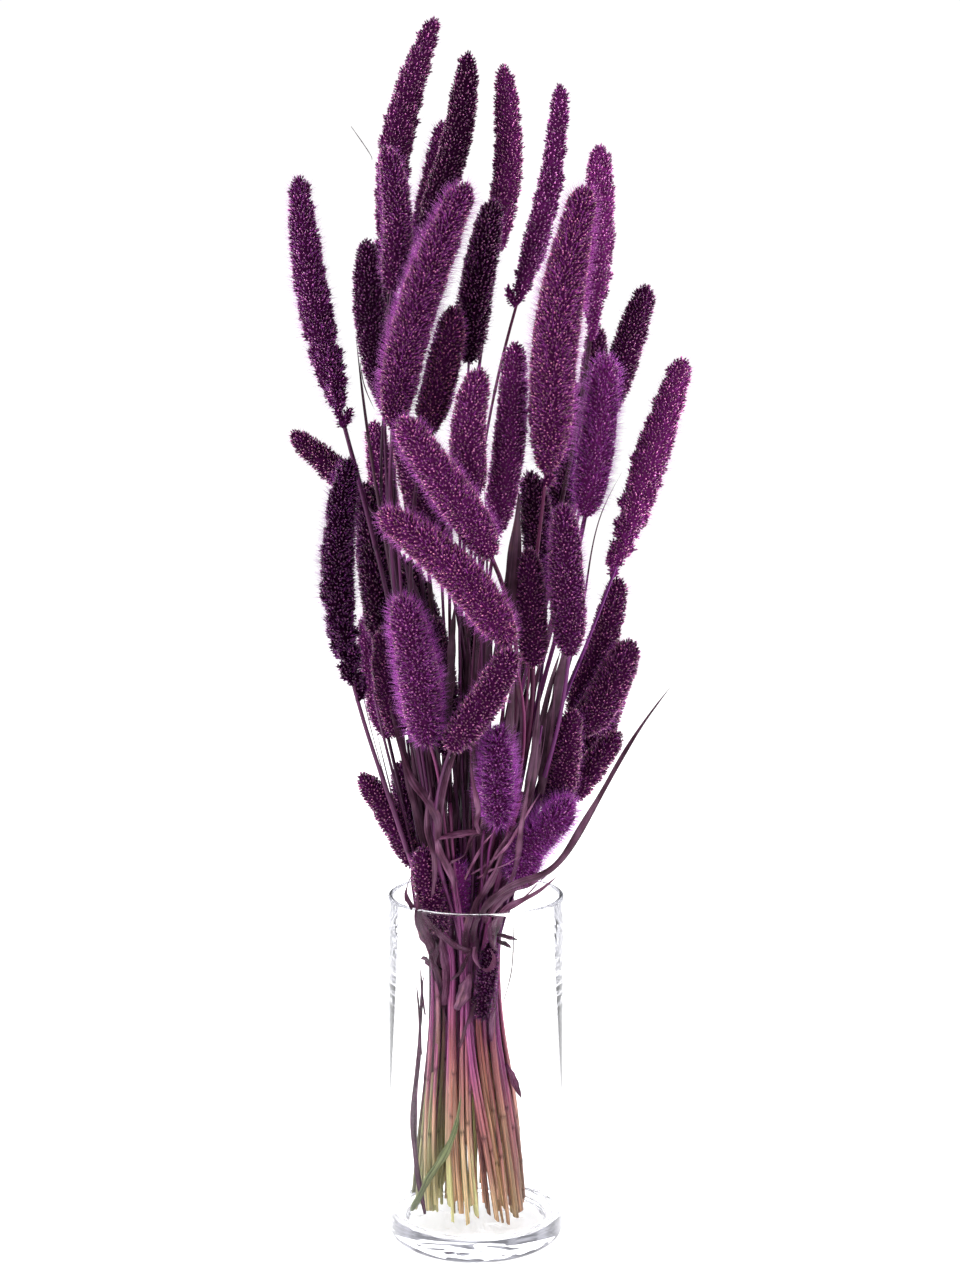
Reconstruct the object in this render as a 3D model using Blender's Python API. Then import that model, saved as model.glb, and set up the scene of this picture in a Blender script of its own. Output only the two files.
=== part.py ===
"""A bunch of dried, dyed foxtail millet standing loose in a tall cylinder vase of clear glass.

The vase stands on z = 0 with its axis on the world's Z axis, and the bunch is seen best from -Y.
Every stalk, a culm with its seed head, grew as one piece and is one solid. Its head is the outer
form that the bristles fill. Lengths below are in millimetres, and meshes are made in metres.
"""

from dataclasses import dataclass

import bmesh
import bpy
import numpy as np

MM = 0.001

# The vase.
VASE_RADIUS = 50.0
VASE_HEIGHT = 200.0
WALL = 3.2
FLOOR_THICKNESS = 13.0
HEEL_ROUND = 6.0  # outer edge at the foot
INNER_ROUND = 5.0  # corner between the inner wall and the floor
LIP_ROUND = 1.2
HEEL_POINTS, CORNER_POINTS, LIP_POINTS = 4, 3, 2  # points on each of the profile's arcs
VASE_SIDES = 32
RIM_SHARP = 0.5  # radians between two faces, over which their edge stays sharp
STRAND_SHARP = 0.8

# The bunch. Its stalks are drawn together at the neck, and fan out above and below it.
NECK_HEIGHT = 140.0  # where the bunch is narrowest
KNEE_HEIGHT = 80.0  # where the culms have fanned out most of the way
NECK_CENTRE = np.array((-7.0, 0.0))
FOOT_CENTRE = np.array((-5.0, 0.0))
NECK_SPREAD = 20.0  # how far from the neck's centre a culm passes at most
LEAN_SPREAD = 0.16  # slope at which a culm passes three quarters of the way out
LEAST_RISE = 60.0  # a head that sits lower leans as if its base were this far above the neck
TWIST = 0.18  # radians that the bunch turns from its heads to its neck, and again to its feet
KNEE_FAN = 1.35  # how far out a culm stands at its knee against the neck
FOOT_FAN = 1.65  # the same at its foot
FOOT_HEIGHT = FLOOR_THICKNESS + 1.4
OPENING_OUT = 0.9  # power by which a stalk's depth grows above SPREAD_HEIGHT
SPREAD_HEIGHT = 90.0
LEAST_OPENING = 0.1
CULM_AT_FOOT = 1.6
CULM_AT_HEAD = 1.1
CULM_STEP = 75.0  # longest run of culm between two rings
LINE_POINTS = 160  # points that a smooth line is worked out in
GAP = 0.7  # air kept between the outlines of two pieces
SIDES = 6
FRONT = np.array((0.0, -1.0, 0.0))

# A head's outline: share of its length from the base, and share of its full radius.
HEAD_OUTLINE = ((0.06, 0.6), (0.18, 0.92), (0.38, 1.0), (0.6, 0.98), (0.78, 0.88), (0.93, 0.58))

# Seed heads from the top of the bunch down: tip x, tip z, base x, base z, depth of the tip
# along y, sideways bow in the middle, radius with the bristles.
HEADS = (
    (-22, 693, -48, 557, 45, -9, 10.5),
    (-4, 669, -28, 570, 15, 5, 8.5),
    (15, 665, 11, 560, 30, 5, 8.5),
    (46, 649, 23, 532, -5, 5, 7.5),
    (-18, 638, -40, 535, 55, 1, 8.5),
    (70, 622, 65, 517, 35, 1, 10),
    (-48, 614, -46, 535, -15, 5, 8.5),
    (-14, 599, -46, 505, 40, -1, 9),
    (-95, 598, -73, 469, -20, -4, 10.5),
    (-4, 590, -44, 462, -55, -6, 12),
    (57, 588, 37, 437, -60, -5, 14.5),
    (10, 585, -4, 496, -25, -2, 10),
    (-54, 573, -52, 470, 50, 2, 9),
    (-60, 568, -49, 474, 15, -4, 9.5),
    (95, 542, 71, 468, 5, 0, 9.5),
    (-11, 528, -27, 458, -40, 1, 10),
    (71, 524, 62, 425, 70, 1, 9.5),
    (21, 509, 10, 403, -45, 3, 9.5),
    (71, 503, 60, 415, -20, 1, 11),
    (112, 501, 76, 386, -30, 0, 10.5),
    (3, 495, -1, 425, -60, -5, 10.5),
    (57, 490, 46, 395, 50, 0, 10.5),
    (-60, 468, -48, 385, 60, 0, 9),
    (-39, 469, 9, 393, -85, 1, 11.5),
    (-42, 465, -16, 385, -15, -1, 10.5),
    (-104, 461, -62, 422, 10, 1, 8),
    (-67, 448, -66, 321, -45, -8, 10.5),
    (30, 440, 39, 365, 10, 1, 10.5),
    (-63, 433, -51, 335, 20, 0, 10.5),
    (46, 424, 50, 342, -65, 0, 10.5),
    (-50, 421, 19, 347, -80, 8, 12),
    (28, 400, 31, 335, -50, 0, 9.5),
    (-40, 390, -20, 305, 15, 2, 10.5),
    (81, 380, 54, 300, 10, 3, 9.5),
    (-39, 377, -26, 295, -75, 2, 12.5),
    (-24, 360, -16, 280, -10, 1, 10),
    (-63, 358, -50, 285, 25, -1, 9),
    (-51, 355, -42, 292, -20, -2, 8.5),
    (1, 356, -4, 272, 50, 0, 9),
    (19, 349, -16, 291, -70, 3, 10),
    (87, 347, 58, 292, -10, 2, 11.5),
    (86, 322, 61, 252, 40, -1, 10),
    (53, 310, 43, 240, -25, 1, 9.5),
    (12, 306, 13, 248, -60, -1, 10.5),
    (83, 291, 53, 250, 15, -1, 8.5),
    (-44, 272, -34, 212, 30, -1, 8.5),
    (-65, 273, -35, 217, -20, 3, 8),
    (-8, 262, -9, 200, 40, 0, 9.5),
    (54, 261, 22, 215, -35, 2, 11.5),
    (-29, 234, -16, 182, -30, -2, 9),
    (-11, 222, -6, 180, -12, -1, 8.5),
    (8, 178, 9, 130, -24, 0, 6),
)

# Leaf blades tucked among the stalks: name, then points (x, depth y, z) from the lower end to
# the tip, and the widest half-width.
LEAVES = (
    ("leaf_long_right", ((-2, -24, 176), (3, -37, 198), (12, -41, 209), (25, -45, 217), (39, -48, 223),
                         (47, -49, 231), (57, -50, 248), (66, -50, 264), (76, -49, 282),
                         (89, -47, 303), (106, -46, 326)), 3.6),
    ("leaf_bent_right", ((10, -22, 180), (14, -36, 197), (25, -41, 206), (33, -44, 211),
                         (45, -45, 221)), 2.6),
    ("leaf_long_left", ((6, 14, 70), (-14, 8, 200), (-47, -4, 382), (-59, -6, 457),
                        (-66, -6, 516)), 3.0),
    ("leaf_thin_right", ((-8, 18, 80), (20, 24, 220), (64, 25, 379), (68, 25, 404),
                         (83, 25, 438)), 2.0),
    ("leaf_low_left", ((-12, -14, 110), (-30, -14, 180), (-38, -14, 204), (-36, -14, 222)), 2.4),
    ("leaf_in_vase", ((-28, -24, 22), (-34, -24, 84), (-31, -24, 124), (-33, -24, 156)), 2.4),
    ("leaf_pale", ((-36, -30, 24), (-24, -30, 46), (-13, -30, 68), (-8, -30, 92)), 3.2),
)
# These lie beside or in front of the bunch, where its hoops don't hold them.
LOOSE_LEAVES = ("leaf_in_vase", "leaf_pale", "leaf_long_right", "leaf_bent_right")
LEAF_RINGS = 15
LEAF_THICKNESS = 0.9
LEAF_STALK = 0.35  # half-width at the lower end, as a share of the widest
LEAF_BELLY = 0.8  # under 1, a leaf is widest below its middle
LEAF_FACING = np.array((0.0, -1.0, 0.05))  # the way in which the blades' flat sides look

# Hoops that the bunch's centre lines pass through: height, centre's x, radius.
HOOPS = ((20, -5, 34), (70, -6, 29), (100, -6, 25), (NECK_HEIGHT, -7, 21.5), (200, -7, 29), (235, -4, 45))

# Settling, which pushes pieces apart until they are clear of each other.
SETTLING_STEPS = 600
FREE_STEPS = 250  # the last steps, in which nothing pulls back to its first place
WATCH_STEPS = 10  # steps between two searches for runs that are near each other
WATCH_GAP = 4.0  # two runs with less air than this between them are watched
PULL = np.array((0.05, 0.01, 0.03))
YIELD = np.array((0.35, 1.0, 0.25))  # pieces give way mostly in depth
SIDESTEP = 0.2  # depth added to the way in which two pieces part
PUSH = 0.4  # share of what two pieces lack that each gives way in a step
MOST_PUSH = 1.5
UPPER_FOLLOWS = 0.5  # share of a shift that the far upper end of a drawn-in run takes
EASE = 0.2  # how far bends are evened out in a step
FREE_EASE = 0.02
INNER_CLEARANCE = 1.0  # between the vase's inner wall and the bunch
TINY = 1e-6


@dataclass
class Strand:
    """A round or flat piece that follows a line of rings, from its lower end to its tip."""

    name: str
    points: np.ndarray
    radii: np.ndarray


def material(name, colour, roughness):
    """A plain, non-metallic Principled material."""
    made = bpy.data.materials.new(name)
    made.use_nodes = True
    shader = made.node_tree.nodes["Principled BSDF"]
    shader.inputs["Base Color"].default_value = (*colour, 1)
    shader.inputs["Roughness"].default_value = roughness
    shader.inputs["Metallic"].default_value = 0
    return made


def smooth_line(through, count=LINE_POINTS):
    """A natural cubic spline through the given points, as a dense row of points."""
    knots = np.asarray(through, float)
    steps = np.linalg.norm(np.diff(knots, axis=0), axis=1)
    at = np.concatenate(([0], np.cumsum(steps)))
    bends = np.zeros((len(knots), len(knots)))
    pull = np.zeros_like(knots)
    bends[0, 0] = bends[-1, -1] = 1
    for i in range(1, len(knots) - 1):
        bends[i, i - 1 : i + 2] = steps[i - 1], 2 * (steps[i - 1] + steps[i]), steps[i]
        slopes = np.diff(knots[i - 1 : i + 2], axis=0) / steps[i - 1 : i + 1, None]
        pull[i] = 6 * (slopes[1] - slopes[0])
    second = np.linalg.solve(bends, pull)
    where = np.linspace(0, at[-1], count)
    i = np.clip(np.searchsorted(at, where) - 1, 0, len(steps) - 1)
    run, left, right = steps[i], at[i + 1] - where, where - at[i]
    curve = (second[i].T * left**3 + second[i + 1].T * right**3) / (6 * run)
    line = (knots[i].T / run - second[i].T * run / 6) * left
    line += (knots[i + 1].T / run - second[i + 1].T * run / 6) * right
    return (curve + line).T


def along(line, shares):
    """Points at the given shares of a line's length."""
    steps = np.linalg.norm(np.diff(line, axis=0), axis=1)
    at = np.concatenate(([0], np.cumsum(steps)))
    wanted = np.asarray(shares) * at[-1]
    return np.stack([np.interp(wanted, at, x) for x in line.T], 1)


def leaning(base):
    """Where a culm's foot and knee stand and where it crosses the neck, for its head's base."""
    lean = (base[:2] - NECK_CENTRE) / max(base[2] - NECK_HEIGHT, LEAST_RISE)
    out = np.linalg.norm(lean)
    turn = np.array(((np.cos(TWIST), -np.sin(TWIST)), (np.sin(TWIST), np.cos(TWIST))))
    neck = turn @ lean / out * NECK_SPREAD * np.tanh(out / LEAN_SPREAD)
    knee, foot = neck * KNEE_FAN, turn @ neck * FOOT_FAN
    levels = (
        (foot + FOOT_CENTRE, FOOT_HEIGHT),
        (knee + FOOT_CENTRE, KNEE_HEIGHT),
        (neck + NECK_CENTRE, NECK_HEIGHT),
    )
    return [np.array((*place, height)) for place, height in levels]


def stalk(number, tip_x, tip_z, base_x, base_z, depth, bow, radius):
    """The line and radii of one culm with its seed head."""
    opened = max((base_z - SPREAD_HEIGHT) / (tip_z - SPREAD_HEIGHT), LEAST_OPENING) ** OPENING_OUT
    tip = np.array((tip_x, depth, tip_z), float)
    base = np.array((base_x, depth * opened, base_z), float)
    length = np.linalg.norm(tip - base)
    aside = np.array((-(base_z - tip_z), 0, base_x - tip_x)) / length
    middle = (tip + base) / 2 + bow * aside
    culm = [point for point in leaning(base) if point[2] < base_z - CULM_AT_FOOT]
    route = (*culm, base, middle, tip)
    line = smooth_line(route)
    head = np.linalg.norm(line - base, axis=1).argmin()
    culm, rise = line[: head + 1], line[head:]
    runs = int(np.ceil(np.linalg.norm(culm[-1] - culm[0]) / CULM_STEP)) + 1
    shares, swells = np.transpose(HEAD_OUTLINE)
    points = (along(culm, np.linspace(0, 1, runs + 1)), along(rise, shares), [tip])
    culm_radii = np.linspace(CULM_AT_FOOT, CULM_AT_HEAD, runs + 1)
    radii = (culm_radii, swells * radius, [0.0])
    return Strand(f"stalk_{number:02d}", np.concatenate(points), np.concatenate(radii))


def leaf(name, route, half_width):
    """The line and half-widths of one blade: narrow below, widest in its middle."""
    shares = np.linspace(0, 1, LEAF_RINGS)
    belly = np.sin(np.pi * shares**LEAF_BELLY)
    widths = half_width * (LEAF_STALK + (1 - LEAF_STALK) * belly)
    widths[-1] = 0
    return Strand(name, along(smooth_line(route), shares), widths)


def nearest(a, b, c, d):
    """Shares along the runs a-b and c-d at which they come nearest to each other."""
    along_a, along_c, off = b - a, d - c, a - c
    aa = (along_a**2).sum(1)
    cc = (along_c**2).sum(1)
    ac = (along_a * along_c).sum(1)
    ao = (along_a * off).sum(1)
    co = (along_c * off).sum(1)
    s = ((ac * co - ao * cc) / np.maximum(aa * cc - ac * ac, TINY)).clip(0, 1)
    t = ((ac * s + co) / cc).clip(0, 1)
    s = ((ac * t - ao) / aa).clip(0, 1)
    return s, t


def draw_in(points, low, height, centre, reach):
    """Moves each run that crosses a height so that it crosses within its reach of the centre."""
    runs = low[(points[low, 2] <= height) & (points[low + 1, 2] > height)]
    share = (height - points[runs, 2]) / (points[runs + 1, 2] - points[runs, 2])
    at = points[runs, :2] + (points[runs + 1, :2] - points[runs, :2]) * share[:, None] - centre
    out = np.linalg.norm(at, axis=1)
    allowed = np.minimum(reach[runs], reach[runs + 1])
    shift = at * np.minimum(0, allowed / np.maximum(out, TINY) - 1)[:, None]
    points[runs, :2] += shift
    near_top = share > 0.5
    points[runs + 1, :2] += shift * np.where(near_top, 1, UPPER_FOLLOWS)[:, None]


def watched(points, radii, one, two):
    """Those pairs of runs, one and two, that have less than WATCH_GAP of air between them."""
    middle = (points[:-1] + points[1:]) / 2
    reach = np.linalg.norm(points[:-1] - points[1:], axis=1) / 2 + radii[:-1] + radii[1:]
    gap = np.linalg.norm(middle[one] - middle[two], axis=1)
    close = gap < reach[one] + reach[two] + WATCH_GAP
    return one[close], two[close]


def parting(points, radii, i, j):
    """How far each point moves so that the runs from i and from j part."""
    s, t = (x[:, None] for x in nearest(points[i], points[i + 1], points[j], points[j + 1]))
    away = points[i] * (1 - s) + points[i + 1] * s - points[j] * (1 - t) - points[j + 1] * t
    far = np.linalg.norm(away, axis=1, keepdims=True)
    want = (radii[i] + GAP)[:, None] * (1 - s) + (radii[i + 1] + GAP)[:, None] * s
    want = want + radii[j, None] * (1 - t) + radii[j + 1, None] * t
    way = away / np.maximum(far, TINY) * YIELD
    way[:, 1] += SIDESTEP * np.sign(away[:, 1])
    way *= np.maximum(want - far, 0) * PUSH / np.linalg.norm(way, axis=1, keepdims=True)
    push = np.zeros_like(points)
    for at, share in ((i, 1 - s), (i + 1, s), (j, t - 1), (j + 1, -t)):
        np.add.at(push, at, way * share)
    return push.clip(-MOST_PUSH, MOST_PUSH)


def evened(moved, owner):
    """What each point would have moved by, had it moved as its neighbours on its strand did."""
    even = moved.copy()
    inside = np.flatnonzero(owner[2:] == owner[:-2]) + 1
    even[inside] = (moved[inside - 1] + 2 * moved[inside] + moved[inside + 1]) / 4
    return even


def settle(strands):
    """Pushes the strands apart until GAP is free between all of them, and inside the vase."""
    sizes = [len(x.points) for x in strands]
    owner = np.repeat(np.arange(len(strands)), sizes)
    points = np.concatenate([x.points for x in strands])
    radii = np.concatenate([x.radii for x in strands])
    first = points.copy()
    low = np.flatnonzero(owner[:-1] == owner[1:])
    one, two = np.triu_indices(len(low), 1)
    apart = owner[low[one]] != owner[low[two]]
    one, two = low[one[apart]], low[two[apart]]
    feet = np.concatenate(([0], np.cumsum(sizes)[:-1]))
    inner = VASE_RADIUS - WALL - INNER_CLEARANCE - radii
    loose = np.repeat([x.name in LOOSE_LEAVES for x in strands], sizes)
    for step in range(SETTLING_STEPS):
        if step % WATCH_STEPS == 0:
            i, j = watched(points, radii, one, two)
        free = step >= SETTLING_STEPS - FREE_STEPS
        points += parting(points, radii, i, j)
        if not free:
            points += (first - points) * PULL
        moved = points - first
        points += (evened(moved, owner) - moved) * (FREE_EASE if free else EASE)
        points[feet, 2] = first[feet, 2]
        for height, centre, radius in HOOPS:
            draw_in(points, low, height, np.array((centre, 0.0)), np.where(loose, np.inf, radius))
        draw_in(points, low, VASE_HEIGHT, np.zeros(2), inner)
        limit = np.where(points[:, 2] < VASE_HEIGHT, inner, np.inf)
        out = np.linalg.norm(points[:, :2], axis=1)
        points[:, :2] *= np.minimum(1, limit / np.maximum(out, TINY))[:, None]
    for x, place in zip(strands, np.split(points, np.cumsum(sizes)[:-1]), strict=True):
        x.points = place


def frames(points, facing):
    """For each ring, two directions across the strand, the first of them along facing's side."""
    run = np.gradient(points, axis=0)
    run /= np.linalg.norm(run, axis=1, keepdims=True)
    side = np.cross(run, facing)
    side /= np.linalg.norm(side, axis=1, keepdims=True)
    return side, np.cross(side, run)


def skin(rings):
    """A closed mesh from rings of points, flat at its lower end. Its last ring is one point."""
    bm = bmesh.new()
    made = [[bm.verts.new(p * MM) for p in ring] for ring in rings[:-1]]
    around = [(k, (k + 1) % len(made[0])) for k in range(len(made[0]))]
    for lower, upper in zip(made, made[1:], strict=False):
        for k, n in around:
            bm.faces.new((lower[k], lower[n], upper[n], upper[k]))
    bm.faces.new(reversed(made[0]))
    tip = bm.verts.new(rings[-1].mean(0) * MM)
    for k, n in around:
        bm.faces.new((made[-1][k], made[-1][n], tip))
    bmesh.ops.recalc_face_normals(bm, faces=bm.faces)
    return bm


def place(name, bm, finish, sharp):
    """Turns a bmesh into a named object with its material. Edges over the sharp angle stay sharp."""
    mesh = bpy.data.meshes.new(name)
    bm.to_mesh(mesh)
    bm.free()
    mesh.shade_smooth()
    mesh.set_sharp_from_angle(angle=sharp)
    mesh.materials.append(finish)
    made = bpy.data.objects.new(name, mesh)
    bpy.context.scene.collection.objects.link(made)
    return made


def tube(strand):
    """A round strand's solid."""
    side, up = frames(strand.points, FRONT)
    turns = np.arange(SIDES) * 2 * np.pi / SIDES
    circle = side[:, None] * np.cos(turns)[:, None] + up[:, None] * np.sin(turns)[:, None]
    return skin(strand.points[:, None] + circle * strand.radii[:, None, None])


def blade(strand):
    """A leaf's solid: a flat strip, thickest along its midrib."""
    side, up = frames(strand.points, LEAF_FACING)
    wide = side * strand.radii[:, None]
    thick = up * LEAF_THICKNESS / 2
    return skin(strand.points[:, None] + np.stack((wide, thick, -wide, -thick), 1))


def arc(centre, radius, start, end, count):
    """Points on a circle in the profile's plane, with the angles in degrees."""
    turns = np.radians(np.linspace(start, end, count))
    return [(centre[0] + radius * np.cos(a), centre[1] + radius * np.sin(a)) for a in turns]


def vase():
    """The glass cylinder, turned from its profile."""
    inner = VASE_RADIUS - WALL
    heel = (VASE_RADIUS - HEEL_ROUND, HEEL_ROUND)
    outer_lip = (VASE_RADIUS - LIP_ROUND, VASE_HEIGHT - LIP_ROUND)
    inner_lip = (inner + LIP_ROUND, VASE_HEIGHT - LIP_ROUND)
    corner = (inner - INNER_ROUND, FLOOR_THICKNESS + INNER_ROUND)
    profile = arc(heel, HEEL_ROUND, -90, 0, HEEL_POINTS)
    profile += arc(outer_lip, LIP_ROUND, 0, 90, LIP_POINTS)
    profile += arc(inner_lip, LIP_ROUND, 90, 180, LIP_POINTS)
    profile += arc(corner, INNER_ROUND, 0, -90, CORNER_POINTS)
    bm = bmesh.new()
    turns = np.arange(VASE_SIDES) * 2 * np.pi / VASE_SIDES
    rings = []
    for r, z in profile:
        ring = [(r * np.cos(a) * MM, r * np.sin(a) * MM, z * MM) for a in turns]
        rings.append([bm.verts.new(p) for p in ring])
    for lower, upper in zip(rings, rings[1:], strict=False):
        for k in range(VASE_SIDES):
            n = (k + 1) % VASE_SIDES
            bm.faces.new((lower[k], lower[n], upper[n], upper[k]))
    bm.faces.new(reversed(rings[0]))
    bm.faces.new(rings[-1])
    bmesh.ops.recalc_face_normals(bm, faces=bm.faces)
    return bm


def main():
    """Builds the whole vase of millet in an empty scene."""
    for old in list(bpy.data.objects):
        bpy.data.objects.remove(old)
    stalks = [stalk(n, *row) for n, row in enumerate(HEADS, 1)]
    leaves = [leaf(*row) for row in LEAVES]
    settle(stalks + leaves)
    place("vase", vase(), material("clear_glass", (0.9, 0.92, 0.95), 0.05), RIM_SHARP)
    plum = material("dyed_millet", (0.12, 0.035, 0.11), 0.8)
    dry = material("dry_leaf", (0.2, 0.1, 0.14), 0.7)
    for x in stalks:
        place(x.name, tube(x), plum, STRAND_SHARP)
    for x in leaves:
        place(x.name, blade(x), dry, STRAND_SHARP)


main()
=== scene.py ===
"""Looks of a tall glass vase with a bunch of dried, dyed foxtail millet.

Every stalk follows the line of its solid in the frame: a jointed culm below, and above it a seed
head whose grains and bristles are grown over a lobed core.
"""

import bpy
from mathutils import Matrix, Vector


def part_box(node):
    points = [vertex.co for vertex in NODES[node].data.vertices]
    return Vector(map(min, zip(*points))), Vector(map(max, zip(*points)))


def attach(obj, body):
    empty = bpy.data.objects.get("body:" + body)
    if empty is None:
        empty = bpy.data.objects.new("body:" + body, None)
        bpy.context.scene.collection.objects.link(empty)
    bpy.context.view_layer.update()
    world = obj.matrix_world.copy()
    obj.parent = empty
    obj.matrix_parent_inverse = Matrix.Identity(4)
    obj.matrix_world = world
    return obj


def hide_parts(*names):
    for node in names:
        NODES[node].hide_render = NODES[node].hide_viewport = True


bl_info = {
    "name": "Dried Millet Vase",
    "version": (1, 0, 0),
    "blender": (4, 5, 0),
    "location": "View3D > Sidebar > Millet",
    "description": "Builds a glass vase with a bunch of dyed foxtail millet",
    "category": "Add Mesh",
}

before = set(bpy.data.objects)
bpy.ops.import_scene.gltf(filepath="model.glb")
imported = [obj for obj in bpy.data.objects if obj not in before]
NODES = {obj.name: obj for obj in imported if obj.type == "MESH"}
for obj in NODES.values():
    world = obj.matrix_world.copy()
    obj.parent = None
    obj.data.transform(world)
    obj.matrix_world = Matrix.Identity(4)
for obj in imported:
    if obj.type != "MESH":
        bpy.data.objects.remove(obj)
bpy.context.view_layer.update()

import math
from collections import namedtuple

import bmesh
import bpy
import numpy as np
from mathutils import Vector, noise

MM = 0.001
TAU = 2 * math.pi
LINE_POINTS = 500  # on the smooth line through a solid's rings
HEAD_RINGS = 7  # the last rings of a stalk's solid, its tip among them: the seed head
CORE_SIDES = 16
LEAF_THICKNESS = 0.16 * MM
CULM, CORE, BLADE = range(3)  # the order of a stalk's finishes in its mesh
MAP = "OFBake"  # the pieces' own map, which the finishes read
LENGTHWISE = (0.01, 0.98)  # the part of the map's width that a surface takes along its line

# Bands of the map, as shares of its height.
CULM_BAND = (0.02, 0.09)
SHOOT_BAND = (0.1, 0.14)
BLADE_BANDS = ((0.15, 0.176), (0.182, 0.208), (0.214, 0.24), (0.246, 0.272), (0.278, 0.304))
CORE_BAND = (0.32, 0.42)
CLUSTER_BAND = (0.43, 0.45)
GRAIN_BAND = (0.46, 0.70)
BRISTLE_BAND = (0.74, 0.98)

# A culm, in millimetres: the step of its rings, where its first joint may be, how far on the next
# one follows, the rings about a joint, a joint's width, and how long its leaf sheath may be.
CULM_STEP = 9
FIRST_JOINT = (20, 90)
JOINT_GAPS = (70, 130)
JOINT_RINGS = (-2.5, -1.2, 0, 1.2, 2.5)
JOINT_WIDTH = 1.3
SHEATHS = (35, 65)

# A side shoot: its girth as a share of the culm's, how far beside the culm it stands and where it
# ends in millimetres, and how that distance changes from the foot up (metres, share).
SHOOT_GIRTH = 0.75
SHOOTS_APART = (3, 4.5)
SHOOT_ENDS = (220, 430)
SHOOT_SPREAD = ((0, 0.2, 0.4), (1.0, 0.45, 3.2))

# A culm's dried blades, in millimetres: where each may part from it above the foot, how long they
# are, and how far their tips stand off, wave and droop.
BLADE_STARTS = ((25, 110), (110, 190), (180, 250), (200, 280), (240, 330))
BLADE_LENGTHS = (50, 120)
BLADES_APART = (2, 9)
BLADE_WAVES = (0.5, 1.5)
BLADE_DROOPS = (0, 8)

# A seed head's core, in millimetres: the step of its rings, how far its ends stay inside the
# solid's, the size of its lobes and hollows, a lobe's height, and the core's least radius.
CORE_STEP = 2.3
CORE_START = 1.5
CORE_END = 2.2
LOBE_SIZE = 4.8
HOLLOW_SIZE = 5.0
LOBE_HEIGHT = 2.2
CORE_LEAST = 0.5

# How each seed head grew and took the dye: shade (1 is the bunch's middle tone; mostly the head's own
# dye, partly painted light that lightens heads lying in others' shadow), warmth from blue violet (0)
# to rosy brown (1), length of the bristles, size of the lobes, how much it narrows towards the tip, and
# how broken its lower end is. What a row leaves out is as usual.
Style = namedtuple(
    "Style", "shade warmth bristles lobes taper broken", defaults=(1.0, 0.5, 1.0, 1.0, 0.1, 0.0))
STYLES = {
    1: (1.2, 0.3, 0.7, 2.2, 0.3, 0.1), 2: (0.7, 0.3, 0.6), 3: (1.6, 0.35, 0.7, 2.0, 0.2, 0.1),
    4: (1.4, 0.1, 0.8, 1.9, 0.25, 0.2), 5: (1.7, 0.3, 1.2), 6: (1.9, 0.2, 0.8, 1.8, 0.1, 0.5),
    7: (1.0, 0.35, 1.2, 0.8), 8: (1.2, 0.25, 1.4, 0.8), 9: (1.0, 0.15, 1.1, 1.9, 0.2, 0.9),
    10: (1.0, 0.6, 1.4, 0.9), 11: (1.15, 0.75, 1.25, 0.8, 0.25, 0.2), 12: (0.5, 0.3),
    13: (1.0, 0.2, 1.2), 14: (0.75, 0.1, 0.8, 1.3), 15: (0.95, 0.3, 0.9, 1.2, 0.15),
    16: (1.0, 0.75, 1.1, 0.9), 18: (1.5, 0.25, 1.0, 1.2), 21: (1.3, 0.5, 1.1),
    19: (1.8, 0.1, 1.4, 0.7), 20: (1.75, 0.35, 0.9, 2.0, 0.1, 0.7), 22: (0.6, 0.5),
    23: (1.3, 0.4, 1.1), 24: (1.35, 0.55, 1.2, 0.7), 26: (0.9, 0.5, 0.9, 1.2, 0.1, 0.2),
    27: (0.45, 0.1, 1.2, 1.8, 0.15, 0.8), 28: (0.6, 0.4), 29: (0.5, 0.4), 30: (1.0, 0.4, 1.2, 0.8),
    31: (1.3, 0.75, 1.25, 0.8), 33: (0.5, 0.5), 35: (1.15, 0.3, 1.4, 0.7), 36: (0.55, 0.4),
    37: (1.2, 0.3, 1.1), 39: (0.55, 0.45), 44: (1.1, 0.05, 1.7, 0.6),
    46: (0.7, 0.3, 1.2, 1.0, 0.1, 0.2), 48: (0.9, 0.2, 1.3, 1.0, 0.1, 0.3),
    # Head 51 lies deep behind other culms: its shade of 3.0 is painted light that lifts it out of their
    # shadow.
    49: (1.5, 0.0, 1.7, 0.6), 50: (1.0, 0.5, 1.0, 0.8), 51: (3.0, 0.0, 1.6, 1.0, 0.2, 0.3),
    52: (0.85, 0.2, 1.2, 0.8),
}
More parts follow.
